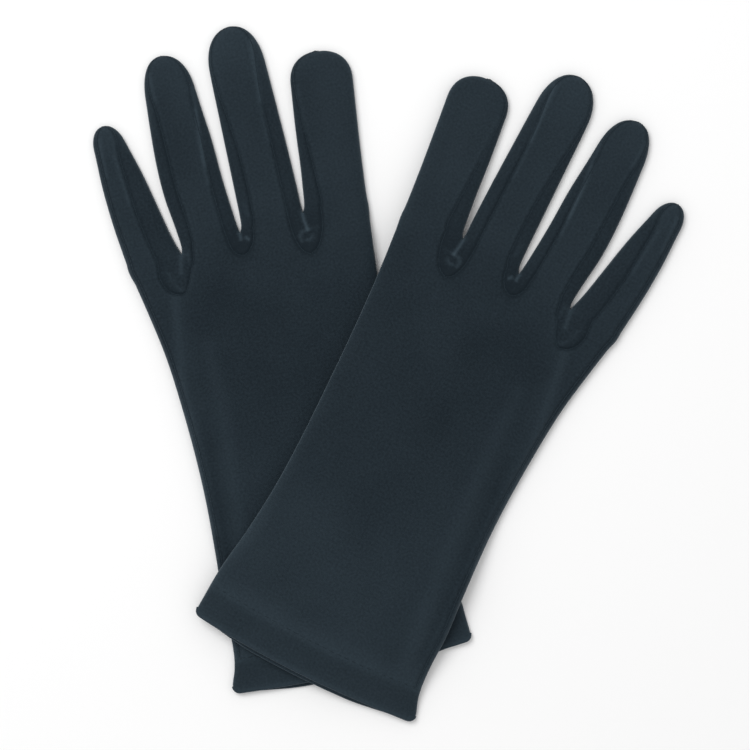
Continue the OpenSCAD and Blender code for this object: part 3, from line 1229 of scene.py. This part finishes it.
def math_node(tree: bpy.types.NodeTree, operation: str, *values: object) -> bpy.types.NodeSocket:
    """Add a Math node.

    Args:
        tree: the node tree.
        operation: what it does.
        values: its inputs, numbers or sockets.

    Returns:
        Its output.
    """
    node = tree.nodes.new("ShaderNodeMath")
    node.operation = operation
    for socket, value in zip(node.inputs, values):
        if isinstance(value, bpy.types.NodeSocket):
            tree.links.new(value, socket)
        else:
            socket.default_value = value
    return node.outputs[0]


def knit_group() -> bpy.types.ShaderNodeTree:
    """Build the fine jersey knit: rows of small loops, with the yarn's fuzz and an uneven dye.

    Returns:
        The group; Cut is a place on the cloth in metres, Wale is a loop's width in metres.
    """
    group = new_group(
        "jersey_knit",
        {"Cut": ("NodeSocketVector", 0.0), "Wale": ("NodeSocketFloat", 0.0005)},
        {"Height": "NodeSocketFloat", "Fuzz": "NodeSocketFloat", "Dye": "NodeSocketFloat"},
    )
    nodes, links = group.nodes, group.links
    source, sink = nodes["in"], nodes["out"]
    split = nodes.new("ShaderNodeSeparateXYZ")
    links.new(source.outputs["Cut"], split.inputs[0])
    across = math_node(group, "DIVIDE", split.outputs["X"], source.outputs["Wale"])
    tall = math_node(group, "MULTIPLY", source.outputs["Wale"], LOOP_HEIGHT)
    along = math_node(group, "DIVIDE", split.outputs["Y"], tall)
    leg = math_node(group, "PINGPONG", across, 0.5)
    slant = math_node(group, "SUBTRACT", along, math_node(group, "MULTIPLY", leg, LOOP_SLANT))
    loop = math_node(group, "SINE", math_node(group, "MULTIPLY", slant, 2.0 * math.pi))
    wale = math_node(group, "SINE", math_node(group, "MULTIPLY", leg, 2.0 * math.pi))
    rows = math_node(group, "MULTIPLY", loop, KNIT_ROWS)
    wales = math_node(group, "MULTIPLY", wale, 1.0 - KNIT_ROWS)
    links.new(math_node(group, "ADD", rows, wales), sink.inputs["Height"])
    for label, scale, detail in CLOUDS:
        cloud = nodes.new("ShaderNodeTexNoise")
        cloud.inputs["Scale"].default_value = scale
        cloud.inputs["Detail"].default_value = detail
        links.new(source.outputs["Cut"], cloud.inputs["Vector"])
        links.new(cloud.outputs["Fac"], sink.inputs[label])
    return group


@dataclass(frozen=True)
class Finish:
    """One cloth or thread.

    Attributes:
        name: the finish's name.
        dark: colour at the dark end of the mix, towards which painted shade, dark fuzz specks and thick dye
            pull.
        light: colour at the pale end, towards which painted highlights, pale fuzz specks and thin dye pull.
        wale: width of one knitted loop, in metres.
        depth: how deep the knit is, in metres.
        roughness: of the yarn.
        sheen: of the yarn's fuzz.
        speckle: how strongly the fuzz shows as pale and dark specks.
        painted_light: how strongly the painted light and shade make the cloth paler or darker.
        dye: how strongly the dye's unevenness shows, and the shade where it is thickest.
        palest: the most that a shade goes past the light colour.
        fuzz_rough: how much the fuzz varies the roughness.
        fuzz_bump: how much the fuzz stands up beside the knit.
        bump: strength of the knit's relief.
        specular: of the yarn.
        sheen_roughness: of the yarn's fuzz.
        sheen_tint: colour of its sheen.
    """

    name: str
    dark: tuple[float, float, float]
    light: tuple[float, float, float]
    wale: float = 0.00050
    depth: float = 0.00007
    roughness: float = 0.66
    sheen: float = 0.2
    speckle: float = 1.4
    painted_light: float = 0.3
    dye: Pair = (0.35, 0.33)
    palest: float = 2.2
    fuzz_rough: float = 0.16
    fuzz_bump: float = 1.2
    bump: float = 0.8
    specular: float = 0.12
    sheen_roughness: float = 0.45
    sheen_tint: tuple[float, float, float, float] = (0.62, 0.78, 0.9, 1.0)

    def material(self, knit: bpy.types.ShaderNodeTree) -> bpy.types.Material:
        """Make the material.

        Args:
            knit: the jersey knit's node group.

        Returns:
            The material.
        """
        material = bpy.data.materials.new(self.name)
        material.use_nodes = True
        tree = material.node_tree
        shader = tree.nodes["Principled BSDF"]
        shader.inputs["Sheen Weight"].default_value = self.sheen
        shader.inputs["Sheen Roughness"].default_value = self.sheen_roughness
        shader.inputs["Sheen Tint"].default_value = self.sheen_tint
        shader.inputs["Specular IOR Level"].default_value = self.specular
        cut = tree.nodes.new("ShaderNodeUVMap")
        cut.uv_map = CUT_MAP
        cloth = tree.nodes.new("ShaderNodeGroup")
        cloth.node_tree = knit
        cloth.inputs["Wale"].default_value = self.wale
        tree.links.new(cut.outputs["UV"], cloth.inputs["Cut"])
        # Painted light and shade from each corner: paler on ridges, edges and painted highlights, darker in
        # hollows, seams and fourchettes; fuzz specks and uneven dye are added to it.
        painted_light = tree.nodes.new("ShaderNodeAttribute")
        painted_light.attribute_name = PAINTED_LIGHT_ATTRIBUTE
        speckle = math_node(tree, "MULTIPLY_ADD", cloth.outputs["Fuzz"], self.speckle, -0.5 * self.speckle)
        patchy = math_node(tree, "MULTIPLY_ADD", cloth.outputs["Dye"], *self.dye)
        painted_light_and_speckle = math_node(tree, "MULTIPLY_ADD", painted_light.outputs["Fac"], self.painted_light, speckle)
        shade = math_node(tree, "ADD", painted_light_and_speckle, patchy)
        spread = tree.nodes.new("ShaderNodeClamp")
        spread.inputs["Max"].default_value = self.palest
        tree.links.new(shade, spread.inputs["Value"])
        colour = tree.nodes.new("ShaderNodeMix")
        colour.data_type, colour.clamp_factor = "RGBA", False
        colour.inputs["A"].default_value = (*self.dark, 1.0)
        colour.inputs["B"].default_value = (*self.light, 1.0)
        tree.links.new(spread.outputs["Result"], colour.inputs["Factor"])
        tree.links.new(colour.outputs["Result"], shader.inputs["Base Color"])
        smoothest = self.roughness - self.fuzz_rough / 2.0
        rough = math_node(tree, "MULTIPLY_ADD", cloth.outputs["Fuzz"], self.fuzz_rough, smoothest)
        tree.links.new(rough, shader.inputs["Roughness"])
        bump = tree.nodes.new("ShaderNodeBump")
        bump.inputs["Distance"].default_value = self.depth
        bump.inputs["Strength"].default_value = self.bump
        fuzz = math_node(tree, "MULTIPLY", cloth.outputs["Fuzz"], self.fuzz_bump)
        tree.links.new(math_node(tree, "ADD", cloth.outputs["Height"], fuzz), bump.inputs["Height"])
        tree.links.new(bump.outputs["Normal"], shader.inputs["Normal"])
        return material


JERSEY = Finish("stretch_jersey", (0.0052, 0.0115, 0.0172), (0.0186, 0.0308, 0.0410))
FINISHES = {
    "hand": JERSEY,
    # The fourchettes and crotches use a slightly darker copy of the jersey: painted shade where the strips
    # turn away from the light.
    "fourchette": Finish("fourchette_jersey_painted_shade", (0.0045, 0.0105, 0.0160), (0.0178, 0.0298, 0.0398)),
    "hem": replace(JERSEY, name="folded_hem_jersey"),
    "thread": Finish("sewing_thread", (0.0060, 0.0120, 0.0175), (0.0180, 0.0290, 0.0380),
                     wale=0.00025, depth=0.00004, roughness=0.5, sheen=0.1),
}


# --- the gloves -----------------------------------------------------------------------------------


@dataclass
class Thumb:
    """The thumb, a flat tube tucked under the palm, set into a round hole.

    Attributes:
        hole: the middle of the hole in the glove's frame.
        hole_radius: of the hole.
        lean: its turn towards the little finger, in degrees.
        length: from the hole's middle to the tip.
        base_radius: of its round lower end.
        tip_radius: of its tip.
        floor: how far it lies off what it rests on.
        depth: its whole thickness.
        rounding: how far in from an edge it is rounded.
        flange: how far the collar's flanges reach out from the hole.
        collar_wall: thickness of the collar's wall.
        flange_depth: thickness of its flanges.
    """

    hole: Pair = (-20.0, 90.0)
    hole_radius: float = 8.0
    lean: float = 8.0
    length: float = 56.0
    base_radius: float = 12.0
    tip_radius: float = 10.5
    floor: float = 0.2
    depth: float = 2.3
    rounding: float = 3.0
    flange: float = 1.6
    collar_wall: float = 0.4
    flange_depth: float = 0.2

    def plan(self, along: np.ndarray, across: np.ndarray) -> np.ndarray:
        """Take places on the thumb to the glove's frame.

        Args:
            along: distances from the hole's middle towards the tip.
            across: distances from the thumb's middle line.

        Returns:
            The places.
        """
        turn = math.radians(self.lean)
        axis, side = np.array([math.sin(turn), math.cos(turn)]), np.array([math.cos(turn), -math.sin(turn)])
        return np.array(self.hole) + along[:, None] * axis + across[:, None] * side

    def half_width(self, along: np.ndarray) -> np.ndarray:
        """Measure half the thumb's width.

        Args:
            along: distances from the hole's middle towards the tip.

        Returns:
            The half width at each, 0 at both ends.
        """
        top = self.length - self.tip_radius
        low = np.sqrt(np.maximum(self.base_radius ** 2 - np.minimum(along, 0.0) ** 2, 0.0))
        high = np.sqrt(np.maximum(self.tip_radius ** 2 - np.maximum(along - top, 0.0) ** 2, 0.0))
        share = np.clip(along / top, 0.0, 1.0)
        return low + (high - low) * share

    def skin(self, cloth: Cloth, names: list[str]) -> bmesh.types.BMesh:
        """Make the outside of the thumb as one welded surface.

        Args:
            cloth: the glove that it belongs to.
            names: the pieces' names.

        Returns:
            The surface in the row's frame, in millimetres.
        """
        skin = new_mesh()
        for upper in (True, False):
            grid = new_mesh()
            bmesh.ops.create_grid(grid, x_segments=THUMB_CELLS[0], y_segments=THUMB_CELLS[1], size=1.0)
            piece, flat = grid.faces.layers.int["piece"], grid.verts.layers.float_vector["flat"]
            for face in grid.faces:
                face[piece], face.smooth = names.index("thumb_upper" if upper else "thumb_lower"), True
            spots = np.array([vert.co[:2] for vert in grid.verts])
            along = (self.length - self.base_radius) / 2 + (self.length + self.base_radius) / 2 * np.sin(
                spots[:, 1] * math.pi / 2)
            half = self.half_width(along)
            across = half * np.sin(spots[:, 0] * math.pi / 2)
            near = np.clip((half - np.abs(across)) / self.rounding, 0.0, 1.0)
            crown = self.depth / 2 * rounded(1.0 - near, CROWN_CURVE)
            points = self.plan(along, across)
            heights = self.floor + self.depth / 2 + (crown if upper else -crown)
            for vert, point, spot in zip(grid.verts, points, cloth.lay(points, heights)):
                vert[flat], vert.co = (*point, 0.0), spot
            if upper:
                away = {vert: (Vector(vert[flat][:2]) - Vector(self.hole)).length for vert in grid.verts}
                holes = [face for face in grid.faces
                         if min(away[vert] for vert in face.verts) < self.hole_radius]
                bmesh.ops.delete(grid, geom=holes, context="FACES")
            if upper == (cloth.place.side is Side.LEFT):
                bmesh.ops.reverse_faces(grid, faces=grid.faces[:])
            append(skin, grid)
        weld(skin)
        return skin

    def collar(self, cloth: Cloth) -> bmesh.types.BMesh:
        """Make the seam that joins the thumb to the palm round the hole.

        Args:
            cloth: the glove that it belongs to.

        Returns:
            The collar in the row's frame, in millimetres.
        """
        collar = new_mesh()
        low = self.floor + self.depth - self.flange_depth
        high = cloth.relief.floor + cloth.relief.bed_floor + CLOTH
        under, over = high - self.flange_depth, low + self.flange_depth
        hole = self.hole_radius
        wall, rim = hole + self.collar_wall, hole + self.flange
        profile = [(rim, low), (hole, low), (hole, high), (rim, high), (rim, under), (wall, under),
                   (wall, over), (rim, over)]
        verts = [collar.verts.new((radius, 0.0, z)) for radius, z in profile]
        edges = [collar.edges.new((verts[k - 1], verts[k])) for k in range(len(verts))]
        bmesh.ops.spin(collar, geom=verts + edges, cent=(0, 0, 0), axis=(0, 0, 1), angle=2.0 * math.pi,
                       steps=COLLAR_STEPS, use_merge=True)
        bmesh.ops.remove_doubles(collar, verts=collar.verts[:], dist=WELD)
        bmesh.ops.recalc_face_normals(collar, faces=collar.faces[:])
        points = np.array([vert.co[:2] for vert in collar.verts]) + np.array(self.hole)
        heights = np.array([vert.co[2] for vert in collar.verts])
        flat, kind = collar.verts.layers.float_vector["flat"], collar.faces.layers.int["wall"]
        for vert, point, spot in zip(collar.verts, points, cloth.lay(points, heights)):
            vert[flat], vert.co = (*point, 0.0), spot
        for face in collar.faces:
            face[kind] = Wall.ROLL.value
        if cloth.place.side is Side.LEFT:
            bmesh.ops.reverse_faces(collar, faces=collar.faces[:])
        return collar


@dataclass
class Glove:
    """One glove: every panel of cloth, its seams, hem and thumb, dressed and put on its bodies.

    Attributes:
        cloth: the glove's cells and where it lies.
        thumb: the thumb under the palm.
        cloth_thickness: of the jersey, in millimetres.
        hem_thickness: of the folded hem.
        seam_radius: of the roll of a seam.
        seam_step: how closely a seam's roll is laid.
        seam_sink: how far its middle lies below the cloth's outside.
        seam_pinch: how much its stitches pinch it, as a share of its radius.
        cuff_step: how closely the cuff's roll is laid.
        cuff_share: its radius as a share of half the hem's thickness.
        cuff_painted_highlight: its painted highlight, which pales the roll at the cuff's edge.
        stitch: half the length, width and height of one stitch of the hem.
        bend_start: where a fold begins, from its axis along the finger; not used.
        bend_end: where it ends; not used.
        pieces: the mesh of each piece by name, in millimetres.
    """

    cloth: Cloth
    thumb: Thumb = field(default_factory=Thumb)
    cloth_thickness: float = CLOTH
    hem_thickness: float = 0.9
    seam_radius: float = 0.2
    seam_step: float = 0.5
    seam_sink: float = 0.03
    seam_pinch: float = 0.14
    cuff_step: float = 0.8
    cuff_share: float = 0.98
    cuff_painted_highlight: float = 2.4
    stitch: tuple[float, float, float] = (1.0, 0.16, 0.14)
    bend_start: float = -1.5
    bend_end: float = 11.0
    pieces: dict[str, bmesh.types.BMesh] = field(init=False, default_factory=dict)

    @property
    def side(self) -> str:
        """The glove's name in every piece's name."""
        return self.cloth.place.side.value

    @staticmethod
    def names() -> list[str]:
        """Name every piece of a glove.

        Returns:
            The names without the glove's, from the cuff to the fingertips.
        """
        names = ["hand_back", "hand_palm", "side_seam", "hem_back", "hem_palm", "hem_stitches", "thumb_upper",
                 "thumb_lower"]
        names += [f"crotch_{gap}" for gap in GAPS] + list(FOURCHETTES.values())
        for finger in FINGERS:
            names += [f"{finger}_back", f"{finger}_palm", f"{finger}_tip"]
        return names

    def build(self) -> None:
        """Make every piece."""
        names = self.names()
        skin = self.cloth.skin(names)
        self.pierce(skin, names.index("hand_palm"))
        self.part_out(skin, names)
        thumb = self.thumb.skin(self.cloth, names)
        self.part_out(thumb, names)
        append(self.pieces["thumb_upper"], self.thumb.collar(self.cloth))
        self.sew()
        self.roll_cuff()
        self.pieces["hem_stitches"] = self.stitches()

    def pierce(self, skin: bmesh.types.BMesh, palm: int) -> None:
        """Open the thumb's hole in the palm.

        Args:
            skin: the glove's outside.
            palm: the palm's number among the pieces.
        """
        piece, flat = skin.faces.layers.int["piece"], skin.verts.layers.float_vector["flat"]
        hole, reach = Vector(self.thumb.hole), self.thumb.hole_radius + HOLE_EASE
        inner = [face for face in skin.faces if face[piece] == palm
                 and min((Vector(vert[flat][:2]) - hole).length for vert in face.verts) < reach]
        bmesh.ops.delete(skin, geom=inner, context="FACES")

    def part_out(self, skin: bmesh.types.BMesh, names: list[str]) -> None:
        """Cut the outside into its pieces and give each its thickness.

        Args:
            skin: the outside; it is freed.
            names: the pieces' names.
        """
        piece = skin.faces.layers.int["piece"]
        for number in sorted({face[piece] for face in skin.faces}):
            shell = skin.copy()
            label = shell.faces.layers.int["piece"]
            others = [face for face in shell.faces if face[label] != number]
            bmesh.ops.delete(shell, geom=others, context="FACES")
            thicken(shell, self.hem_thickness if names[number].startswith("hem") else self.cloth_thickness)
            self.pieces[names[number]] = shell
        skin.free()

    def sew(self) -> None:
        """Lay the roll of every seam in its groove."""
        for layer, runs in self.cloth.seams.items():
            sign = 1.0 if layer is Layer.BACK else -1.0
            for name, line in runs:
                path = evenly(line, self.seam_step)
                laid = self.cloth.lay(path, self.cloth.heights(path, layer) - sign * self.seam_sink)
                append(self.pieces[name], rolled(laid, self.seam_radius, self.seam_pinch))

    def roll_cuff(self) -> None:
        """Round the fold of the hem at the cuff's edge, and paint the roll pale as a painted highlight."""
        radius = self.hem_thickness / 2.0
        for layer in Layer:
            sign = 1.0 if layer is Layer.BACK else -1.0
            columns = self.cloth.columns[layer]
            rim = [column.points[0, :-1] for column in columns] + [columns[-1].points[0, -1:]]
            line = evenly(np.concatenate(rim), self.cuff_step)
            heights = self.cloth.heights(line, layer) - sign * radius
            edge = self.cloth.relief.edge
            heights = np.maximum(heights, edge) if layer is Layer.BACK else np.minimum(heights, edge)
            # painted highlight: the roll faces away from the light but is painted pale
            roll = rolled(self.cloth.lay(line, heights), radius * self.cuff_share, painted_light=self.cuff_painted_highlight)
            append(self.pieces[f"hem_{layer.value}"], roll)

    def stitches(self) -> bmesh.types.BMesh:
        """Make the small stitches that hold the hem's fold.

        Returns:
            The stitches of both layers.
        """
        stitches = new_mesh()
        flat, wall = stitches.verts.layers.float_vector["flat"], stitches.faces.layers.int["wall"]
        half, wide, tall = self.stitch
        turn = math.atan2(*self.cloth.place.turned[::-1, 0])
        for layer in Layer:
            columns = self.cloth.columns[layer]
            row = columns[0].hem_row - 1
            line = evenly(np.concatenate([column.points[row] for column in columns]), HEM_PITCH)[1:-1]
            spots = self.cloth.lay(line, self.cloth.heights(line, layer))
            for point, spot in zip(line, spots):
                ball = bmesh.ops.create_uvsphere(stitches, u_segments=8, v_segments=6, radius=1.0)["verts"]
                bmesh.ops.scale(stitches, vec=(half, wide, tall), verts=ball)
                bmesh.ops.rotate(stitches, matrix=Matrix.Rotation(turn, 3, "Z"), verts=ball)
                bmesh.ops.translate(stitches, vec=spot, verts=ball)
                for vert in ball:
                    vert[flat] = (*point, 0.0)
        for face in stitches.faces:
            face[wall], face.smooth = Wall.ROLL.value, True
        return stitches

    @staticmethod
    def finish(name: str) -> str:
        """Choose a piece's finish.

        Args:
            name: the piece's name without the glove's.

        Returns:
            The finish's name in FINISHES.
        """
        if name == "hem_stitches":
            return "thread"
        if name.startswith("hem"):
            return "hem"
        return "fourchette" if "fourchette" in name or "crotch" in name else "hand"

    def dress(self, materials: dict[str, bpy.types.Material]) -> None:
        """Turn each piece into an object with its finish, and put each piece of the hand or thumb on its
        body.

        Args:
            materials: the finishes' materials by name.
        """
        for name, shell in self.pieces.items():
            finish = self.finish(name)
            slot = SLOTS.get(finish, f"{self.side}_cloth")
            flat_size, flat_area = cut_size(shell)
            piece = finished(f"{self.side}_{name}_cloth", shell, materials[finish])
            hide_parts(f"{self.side}_{name}")
            self.carry(piece, name)
            LOG.info("%s: %d faces", piece.name, len(piece.data.polygons))

    def carry(self, piece: bpy.types.Object, name: str) -> None:
        """Put a piece of the hand or thumb on its body; a finger's piece is only baked in place and does not
        bend.

        Args:
            piece: the object.
            name: its name without the glove's.
        """
        finger = name.split("_")[0]
        if name.startswith("thumb"):
            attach(piece, f"{self.side}_thumb")
        elif finger not in FINGERS:
            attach(piece, f"{self.side}_hand")
        else:
            tip = name.endswith("_tip")
            joint = JOINTS[f"{self.side}_{finger}_{'tip' if tip else 'base'}_fold"]
            spec = self.cloth.pattern.fingers[FINGERS.index(finger)]
            way = Vector((*(self.cloth.place.turned @ spec.axis), 0.0)) * MM
            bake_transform(piece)


def cut_size(shell: bmesh.types.BMesh) -> tuple[Pair, float]:
    """Measure a piece as it was cut, flat.

    Args:
        shell: the piece, in millimetres.

    Returns:
        Its width and length, and its area, in metres.
    """
    flat, wall = shell.verts.layers.float_vector["flat"], shell.faces.layers.int["wall"]
    faces = [face for face in shell.faces if face[wall] == Wall.OUTSIDE.value]
    if not faces:
        return (0.0, 0.0), 0.0
    area, spots = 0.0, []
    for face in faces:
        ring = [vert[flat] for vert in face.verts]
        spots += ring
        area += abs(sum(a.x * b.y - b.x * a.y for a, b in zip(ring, ring[1:] + ring[:1]))) / 2.0
    spots = np.array([spot[:2] for spot in spots])
    size = (spots.max(0) - spots.min(0)) * MM
    return (float(size[0]), float(size[1])), min(area * MM * MM, float(size[0] * size[1]))


def finished(name: str, shell: bmesh.types.BMesh, material: bpy.types.Material) -> bpy.types.Object:
    """Turn a shell into an object in metres, with its cut map and smooth shading across its seams.

    Args:
        name: the object's name.
        shell: the shell in millimetres; it is freed.
        material: its material.

    Returns:
        The object.
    """
    flat = shell.verts.layers.float_vector["flat"]
    outward, wall = shell.verts.layers.float_vector["outward"], shell.faces.layers.int["wall"]
    cut = shell.loops.layers.uv.new(CUT_MAP)
    ways = []
    for face in shell.faces:
        face.smooth = face[wall] != Wall.RIM.value
        sign = {Wall.OUTSIDE.value: 1.0, Wall.INSIDE.value: -1.0}.get(face[wall], 0.0)
        for loop in face.loops:
            loop[cut].uv = (loop.vert[flat].x * MM, loop.vert[flat].y * MM)
            ways.append(loop.vert[outward] * sign)
    # Keep the painted light and shade as a corner attribute for the material.
    painted_light = shell.verts.layers.float.new(PAINTED_LIGHT_ATTRIBUTE)
    for vert in shell.verts:
        vert[painted_light] = vert[flat].z
    bmesh.ops.scale(shell, vec=(MM, MM, MM), verts=shell.verts[:])
    mesh = bpy.data.meshes.new(name)
    shell.to_mesh(mesh)
    shell.free()
    mesh.normals_split_custom_set(ways)
    for layer in ("flat", "outward", "piece", "wall"):
        mesh.attributes.remove(mesh.attributes[layer])
    mesh.materials.append(material)
    piece = bpy.data.objects.new(name, mesh)
    bpy.context.scene.collection.objects.link(piece)
    return piece


# --- the studio -----------------------------------------------------------------------------------


@dataclass
class Studio:
    """A plain pale floor, soft light and the camera straight above the gloves, in metres.

    Attributes:
        middle: what the camera looks at.
        camera_height: above the floor.
        lens: of the camera, in millimetres.
        floor_size: of the floor.
        paper: brightness of the floor.
        paper_roughness: of the floor.
        lamp_at: where the large soft light hangs; it faces the middle of the row.
        lamp_size: how wide it is.
        key: its power.
        sky: strength of the light from all round.
    """

    middle: Pair = (-0.00494, -0.00039)
    camera_height: float = 0.897
    lens: float = 120.0
    floor_size: float = 6.0
    paper: float = 0.93
    paper_roughness: float = 0.9
    lamp_at: tuple[float, float, float] = (-0.55, 0.6, 1.15)
    lamp_size: float = 0.9
    key: float = 9.5
    sky: float = 0.72

    def build(self) -> None:
        """Make the floor, the lights and the camera."""
        self.floor()
        self.lights()
        self.camera()

    def floor(self) -> None:
        """Lay the floor."""
        bpy.ops.mesh.primitive_plane_add(size=self.floor_size, location=(0.0, 0.0, 0.0))
        floor = bpy.context.object
        floor.name = "floor"
        paper = bpy.data.materials.new("white_paper")
        paper.use_nodes = True
        shader = paper.node_tree.nodes["Principled BSDF"]
        shader.inputs["Base Color"].default_value = (self.paper, self.paper, self.paper, 1.0)
        shader.inputs["Roughness"].default_value = self.paper_roughness
        floor.data.materials.append(paper)

    def lights(self) -> None:
        """Set the soft light and the sky."""
        light = bpy.data.lights.new("soft_box", "AREA")
        light.shape, light.size, light.energy = "DISK", self.lamp_size, self.key
        lamp = bpy.data.objects.new("soft_box", light)
        lamp.location = Vector(self.lamp_at)
        lamp.rotation_euler = (-lamp.location).to_track_quat("-Z", "Y").to_euler()
        bpy.context.scene.collection.objects.link(lamp)
        world = bpy.data.worlds.new("sky")
        world.use_nodes = True
        background = world.node_tree.nodes["Background"]
        background.inputs["Strength"].default_value = self.sky
        background.inputs["Color"].default_value = (1.0, 1.0, 1.0, 1.0)
        bpy.context.scene.world = world
        bpy.context.scene.view_settings.view_transform = "Standard"

    def camera(self) -> None:
        """Hang the camera above the gloves."""
        camera = bpy.data.cameras.new("camera")
        camera.lens, camera.sensor_width, camera.clip_start = self.lens, 36.0, 0.01
        holder = bpy.data.objects.new("camera", camera)
        holder.location = (*self.middle, self.camera_height)
        bpy.context.scene.collection.objects.link(holder)
        bpy.context.scene.camera = holder


def main() -> None:
    """Lay the left glove, then the right one over it, and set the studio."""
    knit = knit_group()
    materials = {name: finish.material(knit) for name, finish in FINISHES.items()}
    pattern, relief = Pattern(), Relief()
    flatter = replace(relief, creases=relief.creases + LEFT_PAINTED_HOLLOWS)
    left = Cloth(pattern, flatter, LEFT_PLACE, seed=3.0)
    right = Cloth(pattern, relief, RIGHT_PLACE, under=left, seed=17.0)
    for cloth in (left, right):
        glove = Glove(cloth)
        glove.build()
        glove.dress(materials)
    Studio().build()


if __name__ == "__main__":
    logging.basicConfig(level=logging.INFO, format="%(message)s")
    main()
